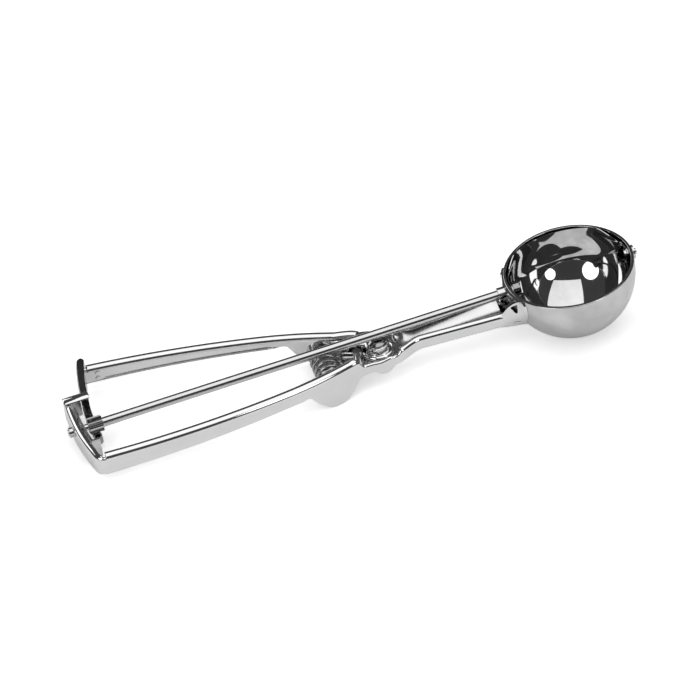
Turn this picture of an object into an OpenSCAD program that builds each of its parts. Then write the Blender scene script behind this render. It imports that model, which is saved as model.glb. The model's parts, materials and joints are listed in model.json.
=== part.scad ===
// Lever ice cream scoop.
// The origin is the centre of the bowl's sphere. The drive rod runs along X, the handle lies towards -X,
// the fixed grip leg on the -Y side and the lever on the +Y side. The bowl opens upwards, towards +Z.
// The lever turns about a vertical rivet. Its curved rack drives a pinion on the rod, and the rod
// turns the scraper inside the bowl. The model is drawn at rest, with the lever open.

/* [Bowl] */
// Outer diameter of the bowl
bowl_d = 54; // [46:0.5:65]
// Thickness of the bowl's wall
bowl_wall = 1.1; // [0.9:0.1:1.4]
// Height of the straight lip above the centre of the sphere
rim_rise = 3; // [2:0.5:4]

/* [Scraper] */
// Width of the scraper blade
blade_w = 11; // [9:0.5:13]
// Thickness of the scraper blade
blade_t = 0.8; // [0.6:0.1:1]
// Gap between the blade and the inside of the bowl
blade_gap = 0.4; // [0.3:0.05:0.6]
// Angle that the scraper sweeps from rest
sweep = 160; // [120:1:165]

/* [Drive rod] */
// Diameter of the rod
rod_d = 4; // [3.4:0.1:4.8]
// Diameter of the rod's thinner rear journal
journal_d = 2.8; // [2.4:0.1:3]
// Running clearance of the rod and of the lever on its rivet, on the radius
running_gap = 0.05; // [0.03:0.01:0.08]

/* [Rack and pinion] */
// Distance from the pivot to the middle of the rack
rack_radius = 121; // [100:1:146]
// Thickness of the rack plate
rack_t = 3.2; // [2.6:0.1:3.6]
// Module of the teeth
tooth_module = 0.7; // [0.7:0.05:0.75]
// Number of teeth on the pinion
pinion_teeth = 8; // [8:1:9]
// Length of the pinion along the rod
pinion_l = 6; // [5:0.5:6.5]

/* [Handle] */
// Distance from the bowl's centre to the pivot
pivot_dist = 84; // [70:1:101]
// Thickness of the handle's sheet steel
sheet_t = 1; // [0.8:0.1:1.2]
// Width of the inward flange along the top of each leg
flange_w = 4.8; // [4:0.1:5.8]
// Width of the inward lip along the bottom of each leg
lip_w = 2.4; // [2:0.1:2.9]
// Width of the flange along the top of the end wall
wall_flange_w = 3; // [2.5:0.1:3.6]
// Height of the web at the rear end
web_h_rear = 9; // [7.5:0.1:10]
// Height of the web where the legs start behind the pivot
web_h_front = 5.4; // [4.5:0.1:6.5]
// Distance from the rod's axis to the outside of a leg where it starts behind the pivot
leg_start_w = 11.7; // [11.2:0.1:12.6]
// Outer radius of the corner between the fixed leg and the end wall
corner_r = 5; // [4.5:0.1:6]
// Angle by which the lever stands more open than the fixed leg's mirror image
lever_open = 4.6; // [4:0.1:5]

/* [Pivot] */
// Radius of the lever's round hub
hub_r = 7; // [6.4:0.1:7.6]
// Diameter of the pivot rivet's shank
rivet_d = 4.5; // [4:0.1:5]
// Diameter of the stop pin
stop_d = 3.6; // [3:0.1:4]

/* [Return spring] */
// Outer diameter of the coil
spring_d = 12; // [10:0.5:12.5]
// Diameter of the spring wire
wire_d = 1.4; // [1.2:0.1:1.7]
// Number of turns
spring_turns = 6; // [5:1:7]
// Distance from the pivot back to the spring's axis
spring_back = 22; // [21.5:0.5:25]

/* [Shank] */
// Half width of the shank at its waist
waist_w = 6.2; // [5.4:0.1:7.4]
// Half width of the shank where it meets the bowl's bracket
neck_w = 9; // [8:0.1:10]
// Depth of the shank's floor below the rod's axis
shank_depth = 10.3; // [9.8:0.1:11]

/* [Hidden] */
$fn = 64;

steel = "gainsboro";
dark_steel = "silver";
// A size larger than the whole scoop, for cutting blocks
big = 400;
// Overlap that makes fused shapes and through cuts clean
eps = 0.1;
// Gap left between pieces that are welded or pressed together
weld_gap = 0.03;
// Gap between pieces that move past each other
free_gap = 0.3;

bowl_r = bowl_d / 2;
bowl_in = bowl_r - bowl_wall;
blade_r = bowl_in - blade_gap;
blade_in = blade_r - blade_t;
// At rest the blade's upper edge is level with the rod's axis
blade_rest = asin(blade_w / 2 / blade_r);
// Half width of the blade's two tabs
tab_r = 3.2;

pitch_r = tooth_module * pinion_teeth / 2;
// Angle that the lever closes through while the scraper makes its sweep
travel = sweep * pitch_r / rack_radius;

// Distances from the pivot back along the handle
leg_start = 15;
leg_bend_l = 30;
leg_end = rack_radius - 3;
flange_start = 11;
// The end wall's outer face and the rack guide's front face curve about the pivot, behind the rack
wall_r = rack_radius + 9;
guide_r = rack_radius + 4.6;
wall_outer_x = -pivot_dist - wall_r;

// Heights at the handle, measured from the rod's axis
leg_top = -3.5;
leg_rise = 2.95;
rear_top = leg_top + (wall_r - sheet_t) * tan(leg_rise);
rear_bottom = rear_top - web_h_rear;
floor_bottom = -shank_depth;
floor_top = floor_bottom + sheet_t;
hub_bottom = floor_top + free_gap;
hub_top = -4.3;
hub_h = hub_top - hub_bottom;
shank_top = -4.2;
cheek_dip = -6.7;
ear_bottom = floor_bottom - 2.6;
lobe_bottom = -18.2;

// Headings of the leg's outside, away from the rod's axis
start_angle = 19.9;
bend_angle = 10;
end_angle = 0.3;
arc_steps = 10;

// Far end of the end wall, and the outer face of the tab beyond it
wall_far_y = 15.2;
tab_y = wall_far_y + sheet_t + 0.2;
bridge_l = 3.4;
post_t = sheet_t * 1.2;

// Bushes, eyelet and trunnion
bush_d = journal_d + 1.8;
bush_fit_d = bush_d + 2 * weld_gap;
front_bush_d = rod_d + 1.8;
front_bush_l = 4;
trunnion_d = 2.6;
trunnion_head_t = 1;
eyelet_d = trunnion_d + 1.8;
eyelet_flange_t = 0.8;

// Pivot rivet, its washers and the sleeve in the lever's hub
bush_wall = 1.5;
lever_bush_d = rivet_d + 2 * bush_wall;
washer_t = 0.5;
head_t = 1.1;
head_r = rivet_d / 2 + 1.4;
stop_shank_d = 2;
stop_back = hub_r + stop_d / 2 + free_gap;
stop_y = -1;
stop_top = hub_top;

// Spring and its two seats
spring_z = -12;
spring_r = (spring_d - wire_d) / 2;
// Distance from the rod's axis to each seat's face, with the lever closed to the mirror image
seat_w = leg_start_w - sheet_t - 0.2;
seat_r = spring_d / 2 - 0.4;
seat_depth = 8;
stub_r = spring_r - wire_d / 2 - 0.9;
stub_l = 3.5;
lobe_front = spring_back - 6.5;
lobe_back = spring_back + 7.5;
// The legs' bottom lips start behind the lobe
lip_start = lobe_back + 9;

// Bracket between the bowl and the shank
bracket_t = 1.2;
bracket_half_w = 13;
bracket_wrap = bowl_r - 5;
bracket_top = 2.5;
neck_x = -(bowl_r + 4);
tongue_l = 14;
tongue_half_w = waist_w - 2;

// ---- Outline of a leg ----

// Points [back, out, heading] along an arc that turns from heading a0 to a1 between u0 and u1
function arc_run(u0, w0, a0, u1, a1) =
    let (r = (u1 - u0) / (sin(a0) - sin(a1)))
    [for (i = [0 : arc_steps]) let (a = a0 + (a1 - a0) * i / arc_steps)
        [u0 + r * (sin(a0) - sin(a)), w0 + r * (cos(a) - cos(a0)), a]];

front_run = arc_run(leg_start, leg_start_w, start_angle, leg_start + leg_bend_l, bend_angle);
bend_w = front_run[arc_steps][1];
rear_run = arc_run(leg_start + leg_bend_l, bend_w, bend_angle, leg_end, end_angle);
leg_run = concat([for (i = [0 : arc_steps - 1]) front_run[i]], rear_run);
leg_end_w = rear_run[arc_steps][1];

// A run's points, moved d towards the rod's axis, in a plan with the pivot at its origin
function inset(run, d) = [for (p = run) [-(p[0] + d * sin(p[2])), p[1] - d * cos(p[2])]];

// Centre of the rear corner, which touches the leg's line and the end wall's circle from inside
corner_base = inset([[leg_end, leg_end_w, end_angle]], corner_r)[0];
corner_dir = [-cos(end_angle), sin(end_angle)];
corner_dot = corner_base * corner_dir;
corner_run = -corner_dot + sqrt(corner_dot ^ 2 - corner_base * corner_base + (wall_r - corner_r) ^ 2);
corner = corner_base + corner_run * corner_dir;
// The fixed leg with its straight end, which stops just before the corner
straight_l = corner_run - 0.4;
flange_end = leg_end + straight_l * cos(end_angle);
fixed_run = concat(leg_run, [[flange_end, leg_end_w + straight_l * sin(end_angle), end_angle]]);
corner_a0 = 90 - end_angle;
corner_a1 = atan2(corner[1], corner[0]);
wall_a1 = 180 - asin(-wall_far_y / wall_r);

// The outside of the fixed handle from the leg to the end wall's far end, moved inwards by d
function handle_line(d) = concat(
    inset(leg_run, d),
    [for (i = [0 : arc_steps]) let (a = corner_a0 + (corner_a1 - corner_a0) * i / arc_steps)
        corner + max(corner_r - d, 0.2) * [cos(a), sin(a)]],
    wall_line(d, corner_a1, wall_a1));

// The end wall's arc between two angles, moved inwards by d
function wall_line(d, a0, a1) =
    [for (i = [1 : arc_steps]) let (a = a0 + (a1 - a0) * i / arc_steps) (wall_r - d) * [cos(a), sin(a)]];

function reversed(list) = [for (i = [len(list) - 1 : -1 : 0]) list[i]];

// Height of the top edge and of the bottom edge at a distance back from the pivot
function top_z(u) = leg_top + u * tan(leg_rise);
function bottom_z(u) = top_z(u) - web_h_front
    - (web_h_rear - web_h_front) * (u - leg_start) / (wall_r - leg_start);

// ---- Outline of the shank, in the plan with the pivot at its origin ----

shank_l = pivot_dist + neck_x;
shoulder_x0 = 6;
shoulder_x1 = 17;
shoulder_w = leg_start_w - 1.9;
shoulder_steps = 6;
bead_w = 2.2;
bead_start = shoulder_x0 + 3;
cheek_back = leg_start + 2;
cheek_back_w = leg_start_w + (cheek_back - leg_start) * tan(start_angle);
// Distance from the rod's axis to the floor's far edge, where the lever's web passes
floor_far_w = leg_start_w - 2.2;
function shank_side(d) = concat(
    [[-cheek_back, cheek_back_w - d], [-leg_start, leg_start_w - d]],
    [for (i = [0 : shoulder_steps]) let (s = i / shoulder_steps)
        [shoulder_x0 + (shoulder_x1 - shoulder_x0) * s,
         waist_w + (shoulder_w - waist_w) * (1 + cos(180 * s)) / 2 - d]],
    [[shank_l, neck_w - d]]);

// ---- Helpers ----

module at_pivot() {
    translate([-pivot_dist, 0, 0]) children();
}

// Extrudes an outline drawn in X and Z over the range y0 to y1
module side_profile(y0, y1) {
    translate([0, y1, 0]) rotate([90, 0, 0]) linear_extrude(y1 - y0) children();
}

module along_x(x, d, l) {
    translate([x, 0, 0]) rotate([0, 90, 0]) cylinder(d = d, h = l);
}

// A tall block over the band between two inward distances of an outline
module band(outer, inner) {
    translate([0, 0, -big / 2]) linear_extrude(big) polygon(concat(outer, reversed(inner)));
}

// Side view of the flanges, which all lie in one sloping sheet along the top
module flange_strip() {
    u0 = flange_start;
    u1 = wall_r + 1;
    polygon([[-u0, top_z(u0) - sheet_t], [-u0, top_z(u0)], [-u1, top_z(u1)], [-u1, top_z(u1) - sheet_t]]);
}

// Side view of a strip along the leg's bottom edge
module bottom_strip(u0, u1) {
    polygon([[-u0, bottom_z(u0)], [-u0, bottom_z(u0) + sheet_t],
        [-u1, bottom_z(u1) + sheet_t], [-u1, bottom_z(u1)]]);
}

// Side view of the web, with the lobe that carries the spring seat. Its straight edges end halfway into
// the flange and the lip
module web_side(u1) {
    half_t = sheet_t / 2;
    polygon([
        [-leg_start, top_z(leg_start) - half_t],
        [-u1, top_z(u1) - half_t],
        [-u1, bottom_z(u1) + half_t],
        [-lip_start, bottom_z(lip_start) + half_t],
        [-(lobe_back + 3), bottom_z(lobe_back + 3) - 0.5],
        [-lobe_back, lobe_bottom + 5],
        [-(lobe_back - 1.5), lobe_bottom + 2.2],
        [-(spring_back + 3), lobe_bottom + 0.5],
        [-spring_back, lobe_bottom],
        [-(spring_back - 3), lobe_bottom + 0.4],
        [-lobe_front, lobe_bottom + 2.2],
        [-leg_start, lobe_bottom + 3]]);
}

// ---- Fixed side ----

// The bowl's outer shape, grown by g
module bowl_form(g, top) {
    difference() {
        sphere(r = bowl_r + g);
        translate([-big / 2, -big / 2, 0]) cube(big);
    }
    translate([0, 0, -eps]) cylinder(r = bowl_r + g, h = top + eps);
}

module bowl() {
    color(steel) difference() {
        bowl_form(0, rim_rise);
        bowl_form(-bowl_wall, rim_rise + eps);
        along_x(-big / 2, rod_d + 2 * free_gap, big / 2);
        along_x(0, eyelet_d + 2 * weld_gap, big / 2);
    }
}

// Side cheek of the bracket, which flares up from the shank to the bowl
module neck_cheek(y0) {
    side_profile(y0, y0 + bracket_t) polygon([
        [neck_x - 5, floor_top + weld_gap],
        [neck_x - 5, shank_top - 2],
        [neck_x, shank_top + 1],
        [-bowl_r - bracket_t, bracket_top - 1],
        [-bowl_r + 1, bracket_top - 1],
        [-bowl_r + 1, floor_top + weld_gap]]);
}

module neck_bracket() {
    cheek_w = neck_w - bead_w - free_gap;
    color(steel) difference() {
        union() {
            intersection() {
                bowl_form(bracket_t + weld_gap, bracket_top);
                translate([-bowl_r - bracket_t - 1, -bracket_half_w, floor_top])
                    cube([bracket_wrap + bracket_t + 1, 2 * bracket_half_w, bracket_top - floor_top]);
            }
            neck_cheek(cheek_w - bracket_t);
            neck_cheek(-cheek_w);
            translate([neck_x - tongue_l, -tongue_half_w, floor_top + weld_gap])
                cube([tongue_l - neck_x - bowl_r + bracket_t * 2, 2 * tongue_half_w, sheet_t]);
        }
        bowl_form(weld_gap, bracket_top + eps);
        along_x(-big / 2, front_bush_d + 2 * weld_gap, big / 2);
    }
}

// Web and flanges of the fixed leg, drawn on the +Y side with the pivot at the origin
module leg_and_wall() {
    intersection() {
        band(handle_line(0), handle_line(sheet_t));
        side_profile(-wall_far_y - 1, big) web_side(wall_r + 1);
    }
    intersection() {
        band(inset(fixed_run, 0), inset(fixed_run, flange_w));
        side_profile(0, big) flange_strip();
    }
    intersection() {
        band(inset(fixed_run, 0), inset(fixed_run, lip_w));
        side_profile(0, big) bottom_strip(lip_start, flange_end);
    }
    intersection() {
        band(wall_line(0, corner_a1, wall_a1), wall_line(wall_flange_w, corner_a1, wall_a1));
        side_profile(-wall_far_y - 1, big) flange_strip();
    }
}

// Cheek beside the pivot, from the leg to the shank, with its ear below the floor
module pivot_cheek() {
    intersection() {
        band(shank_side(0), shank_side(sheet_t));
        side_profile(0, big) polygon([
            [-cheek_back + 0.5, top_z(cheek_back - 0.5) - sheet_t / 2],
            [-10, top_z(10) - 0.2],
            [-7.5, cheek_dip + 1],
            [-4, cheek_dip],
            [1.5, cheek_dip + 1.2],
            [shoulder_x0, shank_top],
            [shank_l, shank_top],
            [shank_l, floor_bottom],
            [4.4, floor_bottom + 0.6],
            [3, ear_bottom + 1],
            [1.5, ear_bottom],
            [-2, ear_bottom],
            [-4.5, floor_bottom - 0.4],
            [-9.5, floor_bottom - 0.2],
            [-12.3, floor_bottom - 2.2],
            [-cheek_back + 0.5, lobe_bottom + 2.5]]);
    }
    intersection() {
        band(shank_side(0), shank_side(flange_w * 0.8));
        side_profile(0, big) flange_strip();
    }
}

// Far wall of the shank, which stops short of the lever's hub
module shank_far_wall() {
    intersection() {
        band(shank_side(0), shank_side(sheet_t));
        side_profile(0, big) polygon([
            [hub_r + 1, floor_bottom],
            [hub_r + 1, shank_top - 2],
            [hub_r + 3, shank_top],
            [shank_l, shank_top],
            [shank_l, floor_bottom]]);
    }
}

module shank_beads() {
    for (side = [0, 1]) mirror([0, side, 0]) intersection() {
        band(shank_side(0), shank_side(bead_w));
        side_profile(0, big) polygon([
            [bead_start, shank_top - sheet_t],
            [bead_start, shank_top],
            [shank_l, shank_top],
            [shank_l, shank_top - sheet_t]]);
    }
}

// Floor of the shank and of the pivot, trimmed where the lever's web passes
module pivot_floor() {
    translate([0, 0, floor_bottom]) linear_extrude(sheet_t) polygon(concat(
        [[-leg_start + 1.5, floor_far_w], [shoulder_x0, floor_far_w]],
        [for (p = shank_side(0)) if (p[0] > shoulder_x0) p],
        reversed([for (p = shank_side(0)) if (p[0] > shoulder_x0) [p[0], -p[1]]]),
        [[shoulder_x0, -shoulder_w + sheet_t / 2], [-leg_start + 1.5, -leg_start_w + sheet_t / 2]]));
}

// Ear at the far end of the end wall: it holds the rack from behind and bridges over it
module guide_tab() {
    wall_x = -sqrt(wall_r ^ 2 - wall_far_y ^ 2);
    back_x = -sqrt((rack_radius + rack_t / 2) ^ 2 - (tab_y - sheet_t) ^ 2);
    front_x = -sqrt((rack_radius - rack_t / 2) ^ 2 - tab_y ^ 2);
    bridge_z = rear_top + free_gap + eps;
    side_profile(-tab_y, -tab_y + sheet_t) polygon([
        [wall_x, rear_bottom],
        [wall_x, bridge_z + sheet_t],
        [front_x, bridge_z + sheet_t],
        [front_x, bridge_z],
        [back_x - free_gap, bridge_z],
        [back_x - free_gap, rear_bottom]]);
    translate([wall_x, -tab_y, bridge_z]) cube([front_x - wall_x, bridge_l, sheet_t]);
    translate([wall_x, -tab_y, rear_bottom])
        cube([post_t, tab_y - wall_far_y + eps, bridge_z - rear_bottom]);
}

// Hole through the floor for a piece of diameter d that is pressed in
module floor_hole(x, y, d) {
    translate([x, y, floor_bottom - eps]) cylinder(d = d + 2 * weld_gap, h = sheet_t + 2 * eps);
}

module handle_frame() {
    color(steel) at_pivot() difference() {
        union() {
            mirror([0, 1, 0]) leg_and_wall();
            mirror([0, 1, 0]) guide_tab();
            mirror([0, 1, 0]) pivot_cheek();
            shank_far_wall();
            shank_beads();
            pivot_floor();
        }
        floor_hole(0, 0, rivet_d);
        floor_hole(-stop_back, stop_y, stop_shank_d);
        along_x(-big / 2, bush_fit_d, big / 2 - leg_end);
    }
}

// Curved bracket behind the end wall that carries the rod's inner bearing and one ear
guide_near_y = -13.5;
guide_far_y = 11;
guide_top = rear_top - 0.4;
foot_t = 2;
foot_h = 4;
module rack_guide() {
    ear_back_x = -sqrt((rack_radius + rack_t / 2) ^ 2 - (guide_near_y + sheet_t) ^ 2) - free_gap;
    ear_x = -sqrt((guide_r + sheet_t) ^ 2 - guide_near_y ^ 2);
    color(steel) at_pivot() difference() {
        union() {
            intersection() {
                difference() {
                    cylinder(r = guide_r + sheet_t, h = big, center = true, $fn = 180);
                    cylinder(r = guide_r, h = big, center = true, $fn = 180);
                }
                translate([-big, guide_near_y, rear_bottom])
                    cube([big, guide_far_y - guide_near_y, guide_top - rear_bottom]);
            }
            translate([ear_x, guide_near_y, rear_bottom])
                cube([ear_back_x - ear_x, sheet_t, rear_top - rear_bottom]);
            // Feet that space the bracket off the end wall
            for (y = [guide_near_y + foot_t / 2, guide_far_y - 3 * foot_t / 2]) intersection() {
                difference() {
                    cylinder(r = wall_r - sheet_t - weld_gap, h = big, center = true, $fn = 180);
                    cylinder(r = guide_r + sheet_t / 2, h = big, center = true, $fn = 180);
                }
                translate([-big, y, rear_bottom]) cube([big, foot_t, foot_h]);
            }
        }
        along_x(-big / 2, bush_fit_d, big / 2 - leg_end);
    }
}

module rear_rod_bush() {
    start = wall_outer_x;
    end = -pivot_dist - guide_r + 0.2;
    color(dark_steel) difference() {
        along_x(start, bush_d, end - start);
        along_x(start - eps, journal_d + 2 * running_gap, end - start + 2 * eps);
    }
}

module front_rod_bush() {
    start = -bowl_r - weld_gap - front_bush_l;
    color(dark_steel) difference() {
        along_x(start, front_bush_d, front_bush_l);
        along_x(start - eps, rod_d + 2 * running_gap, front_bush_l + 2 * eps);
    }
}

module trunnion_bush() {
    flange_x = bowl_r + weld_gap;
    color(dark_steel) difference() {
        union() {
            along_x(bowl_in, eyelet_d, flange_x - bowl_in + eps);
            along_x(flange_x, eyelet_d + 2 * eyelet_flange_t, eyelet_flange_t);
        }
        along_x(0, trunnion_d + 2 * running_gap, big / 2);
    }
}

// Rivet whose lower head closes under the floor and whose upper head holds the lever
module pivot_rivet() {
    low = floor_bottom - weld_gap - washer_t - weld_gap;
    high = hub_top + running_gap + washer_t + weld_gap;
    color(dark_steel) at_pivot() {
        translate([0, 0, low - head_t]) cylinder(d = rivet_d, h = high - low + 2 * head_t);
        rivet_head(high);
        mirror([0, 0, 1]) rivet_head(-low);
    }
}

// Domed head that stands on the height z
module rivet_head(z) {
    dome_r = (head_r ^ 2 + head_t ^ 2) / 2 / head_t;
    translate([0, 0, z]) intersection() {
        translate([0, 0, head_t - dome_r]) sphere(r = dome_r);
        cylinder(r = head_r, h = head_t);
    }
}

module pivot_washers() {
    color(dark_steel) at_pivot()
        for (z = [floor_bottom - weld_gap - washer_t, hub_top + running_gap])
            translate([0, 0, z]) difference() {
                cylinder(r = head_r + 0.6, h = washer_t);
                translate([0, 0, -eps]) cylinder(d = rivet_d + 2 * weld_gap, h = washer_t + 2 * eps);
            }
}

module stop_pin() {
    color(dark_steel) at_pivot() translate([-stop_back, stop_y, 0]) {
        translate([0, 0, floor_top + weld_gap]) cylinder(d = stop_d, h = stop_top - floor_top - weld_gap);
        translate([0, 0, floor_bottom]) cylinder(d = stop_shank_d, h = sheet_t + eps);
    }
}

// Cup and stub for one end of the spring, on the +Y side, backed by the web's inner face
module spring_seat() {
    difference() {
        translate([-spring_back, 0, spring_z]) rotate([-90, 0, 0]) union() {
            translate([0, 0, seat_w]) cylinder(r = seat_r, h = seat_depth);
            translate([0, 0, seat_w - stub_l]) cylinder(r = stub_r, h = stub_l + eps);
        }
        band(inset(leg_run, sheet_t + weld_gap), inset(leg_run, -2 * seat_depth));
        translate([-leg_start - free_gap, -big / 2, -big / 2]) cube(big);
    }
}

module fixed_spring_seat() {
    color(dark_steel) at_pivot() mirror([0, 1, 0]) spring_seat();
}

// ---- Lever ----

// Direction in which the cheek's far edge leaves the hub
hub_edge = [cos(62), sin(62)];

// Places children that are drawn with the lever closed to the mirror image of the fixed leg
module lever_at_rest() {
    at_pivot() rotate([0, 0, -lever_open]) children();
}

// Plan of the lever's cheeks, from the hub to the flange
module cheek_plan() {
    circle(r = hub_r);
    polygon([
        [-hub_r + 0.1, 0.6],
        [-leg_start - 1, 5],
        [-leg_start - 7, leg_start_w - 2.4],
        [-leg_start - 4, leg_start_w + 0.4],
        [-leg_start, leg_start_w],
        [-9, leg_start_w - 0.9],
        [-4, leg_start_w - 3.2],
        hub_r * hub_edge]);
}

// The shell under the upper cheek: the hub's skirt and the flank up to the leg
module lever_skirt() {
    difference() {
        translate([0, 0, hub_bottom]) linear_extrude(hub_h) difference() {
            cheek_plan();
            translate([-big - leg_start - free_gap, -big / 2]) square(big);
        }
        translate([0, 0, hub_bottom - eps]) cylinder(r = hub_r - sheet_t, h = hub_h + 2 * eps);
        translate([0, 0, hub_bottom - eps]) linear_extrude(hub_h + 2 * eps) polygon([
            [-hub_r + 0.2, -0.6],
            [-leg_start - 8, 3],
            [-leg_start - 8, leg_start_w + 1.2],
            [-leg_start, leg_start_w - sheet_t],
            [-9, leg_start_w - 0.9 - sheet_t],
            [-4, leg_start_w - 3.4 - sheet_t],
            (hub_r - sheet_t) * hub_edge]);
    }
}

module lever_handle() {
    color(steel) lever_at_rest() difference() {
        union() {
            intersection() {
                band(inset(leg_run, 0), inset(leg_run, sheet_t));
                side_profile(0, big) web_side(leg_end);
            }
            intersection() {
                band(inset(leg_run, 0), inset(leg_run, flange_w));
                side_profile(0, big) flange_strip();
            }
            intersection() {
                band(inset(leg_run, 0), inset(leg_run, lip_w));
                side_profile(0, big) bottom_strip(lip_start, leg_end);
            }
            translate([0, 0, hub_top - sheet_t]) linear_extrude(sheet_t) cheek_plan();
            translate([0, 0, hub_bottom]) linear_extrude(sheet_t) difference() {
                cheek_plan();
                translate([-big - leg_start + 0.5, -big / 2]) square(big);
            }
            lever_skirt();
        }
        translate([0, 0, hub_bottom - eps])
            cylinder(d = lever_bush_d + 2 * weld_gap, h = hub_h + 2 * eps);
        rack_rivet_holes();
        // The leg ends just inside the rack
        difference() {
            cylinder(r = big, h = big, center = true);
            cylinder(r = rack_radius - rack_t / 2 - free_gap, h = big + 1, center = true, $fn = 180);
        }
    }
}

module rack_rivet_holes() {
    for (z = rack_rivet_z) translate([-rivet_back, 0, z]) rotate([-90, 0, 0])
        cylinder(d = rack_rivet_d + 2 * weld_gap, h = big);
}

module lever_bush() {
    color(dark_steel) at_pivot() translate([0, 0, hub_bottom]) difference() {
        cylinder(d = lever_bush_d, h = hub_h);
        translate([0, 0, -eps]) cylinder(d = rivet_d + 2 * running_gap, h = hub_h + 2 * eps);
    }
}

module lever_spring_seat() {
    color(dark_steel) lever_at_rest() spring_seat();
}

// ---- Rack ----

// How far the toothed bar reaches past the rod on its free side, and beyond the travel on the other
rack_free_a = 2.84;
rack_spare_a = 4.4;
rack_step_a = travel + rack_spare_a;
rack_outer_a = 19.4;
rack_top = rear_top - 0.1;
rack_bottom = rear_bottom;
// Heights of a tooth's tip and root from its pitch line, as shares of the module
tip_share = 0.85;
root_share = 1.1;
pressure_a = 20;
tip_z = -pitch_r + tooth_module * tip_share;
root_z = -pitch_r - tooth_module * root_share;
tooth_pitch_a = PI * tooth_module / rack_radius * 180 / PI;
rack_teeth = 5;
backlash = 0.12;
rack_rivet_d = 1.5;
rack_rivet_head_d = rack_rivet_d + 0.9;
rack_rivet_head_t = 0.8;
rivet_back = leg_end - 6;
tongue_back = leg_end - 9;
tongue_t = 1.4;
// The tongue lies between the leg's flange and its lip
tongue_z0 = bottom_z(leg_end) + sheet_t + 0.5;
tongue_z1 = top_z(tongue_back) - sheet_t - free_gap;
tongue_y = leg_end_w - sheet_t - tongue_t - 0.5;
rack_rivet_z = [for (share = [1, 3]) tongue_z0 + (tongue_z1 - tongue_z0) * share / 4];

// Sector of the rack plate between two angles, measured from -X towards +Y
module rack_sector(a0, a1) {
    rotate([0, 0, 180 - a1]) rotate_extrude(angle = a1 - a0, $fn = 360)
        translate([rack_radius - rack_t / 2, rack_bottom]) square([rack_t, rack_top - rack_bottom]);
}

// Gap between two teeth, centred on the angle a
module rack_gap(a) {
    half_gap = tooth_module * PI / 4 + backlash / 2;
    root_w = half_gap - (-pitch_r - root_z) * tan(pressure_a);
    tip_w = half_gap + (tip_z + eps + pitch_r) * tan(pressure_a);
    rotate([0, 0, -a]) side_radial()
        polygon([[-root_w, root_z], [root_w, root_z], [tip_w, tip_z + eps], [-tip_w, tip_z + eps]]);
}

// Extrudes an outline drawn in Y and Z along -X through the rack plate
module side_radial() {
    translate([-rack_radius - rack_t, 0, 0]) rotate([90, 0, 90]) linear_extrude(2 * rack_t) children();
}

module rack() {
    tongue_x = -sqrt(rack_radius ^ 2 - tongue_y ^ 2);
    color(steel) {
        at_pivot() difference() {
            rack_sector(-rack_free_a, rack_outer_a);
            // Room for the pinion above the toothed bar
            side_radial() translate([-big / 2, tip_z])
                square([big / 2 + rack_radius * sin(rack_step_a), big]);
            for (i = [-rack_teeth : rack_teeth * 2 - 1])
                if (i * tooth_pitch_a > -rack_free_a && i * tooth_pitch_a < rack_step_a)
                    rack_gap(i * tooth_pitch_a);
        }
        lever_at_rest() difference() {
            translate([tongue_x, tongue_y, tongue_z0])
                cube([-tongue_x - tongue_back, tongue_t, tongue_z1 - tongue_z0]);
            rack_rivet_holes();
        }
    }
}

module rack_rivets() {
    color(dark_steel) lever_at_rest() for (z = rack_rivet_z)
        translate([-rivet_back, tongue_y - rack_rivet_head_t, z]) rotate([-90, 0, 0]) {
            cylinder(d = rack_rivet_d, h = leg_end_w - tongue_y + rack_rivet_head_t + free_gap);
            cylinder(d = rack_rivet_head_d, h = rack_rivet_head_t - weld_gap);
        }
}

// ---- Return spring ----

// The coil's two ends. The lever's seat stands askew to the coil, so the far end keeps a little off it
spring_y0 = -seat_w + wire_d / 2;
spring_y1 = seat_w * cos(lever_open) + spring_back * sin(lever_open) - wire_d;
ring_sides = 8;
turn_steps = 14;
spring_rings = spring_turns * turn_steps;

// Centre of the wire at ring i. The coil leans a little, because the lever's seat swings with the lever
spring_lean = spring_back * (1 - cos(lever_open)) + seat_w * sin(lever_open);
function coil_point(i) = let (a = 360 * i / turn_steps, share = i / spring_rings)
    [-spring_back + spring_lean * share + spring_r * cos(a),
     spring_y0 + (spring_y1 - spring_y0) * share,
     spring_z + spring_r * sin(a)];

// A point on the wire's surface at ring i and side j
function wire_point(i, j) = let (a = 360 * i / turn_steps, b = 360 * j / ring_sides)
    coil_point(i) + wire_d / 2 * [cos(b) * cos(a), sin(b), cos(b) * sin(a)];

module return_spring() {
    color(dark_steel) at_pivot() polyhedron(
        points = [for (i = [0 : spring_rings]) for (j = [0 : ring_sides - 1]) wire_point(i, j)],
        faces = concat(
            [[for (j = [0 : ring_sides - 1]) j]],
            [for (i = [0 : spring_rings - 1]) for (j = [0 : ring_sides - 1])
                let (k = (j + 1) % ring_sides)
                [i * ring_sides + j, (i + 1) * ring_sides + j,
                 (i + 1) * ring_sides + k, i * ring_sides + k]],
            [[for (j = [ring_sides - 1 : -1 : 0]) spring_rings * ring_sides + j]]));
}

// ---- Rod and scraper ----

pinion_front = -pivot_dist - rack_radius + pinion_l / 2 + 0.4;
cap_t = 1.5;
hub_l = 2.6;
hub_d = rod_d + 2.8;
hub_x = -sqrt(blade_in ^ 2 - (hub_d / 2) ^ 2) + weld_gap;
rod_front_x = hub_x + hub_l + free_gap;
rod_tip_x = wall_outer_x - free_gap - cap_t - 0.4;
module drive_rod() {
    color(steel) difference() {
        union() {
            along_x(pinion_front, rod_d, rod_front_x - pinion_front);
            along_x(rod_tip_x, journal_d, pinion_front - rod_tip_x + eps);
        }
        pin_hole();
    }
}

pin_d = 1;
pin_x = pinion_front - pinion_l + 1.2;
module pin_hole() {
    translate([pin_x, 0, -big / 2]) cylinder(d = pin_d + 2 * weld_gap, h = big, $fn = 24);
}

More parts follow.
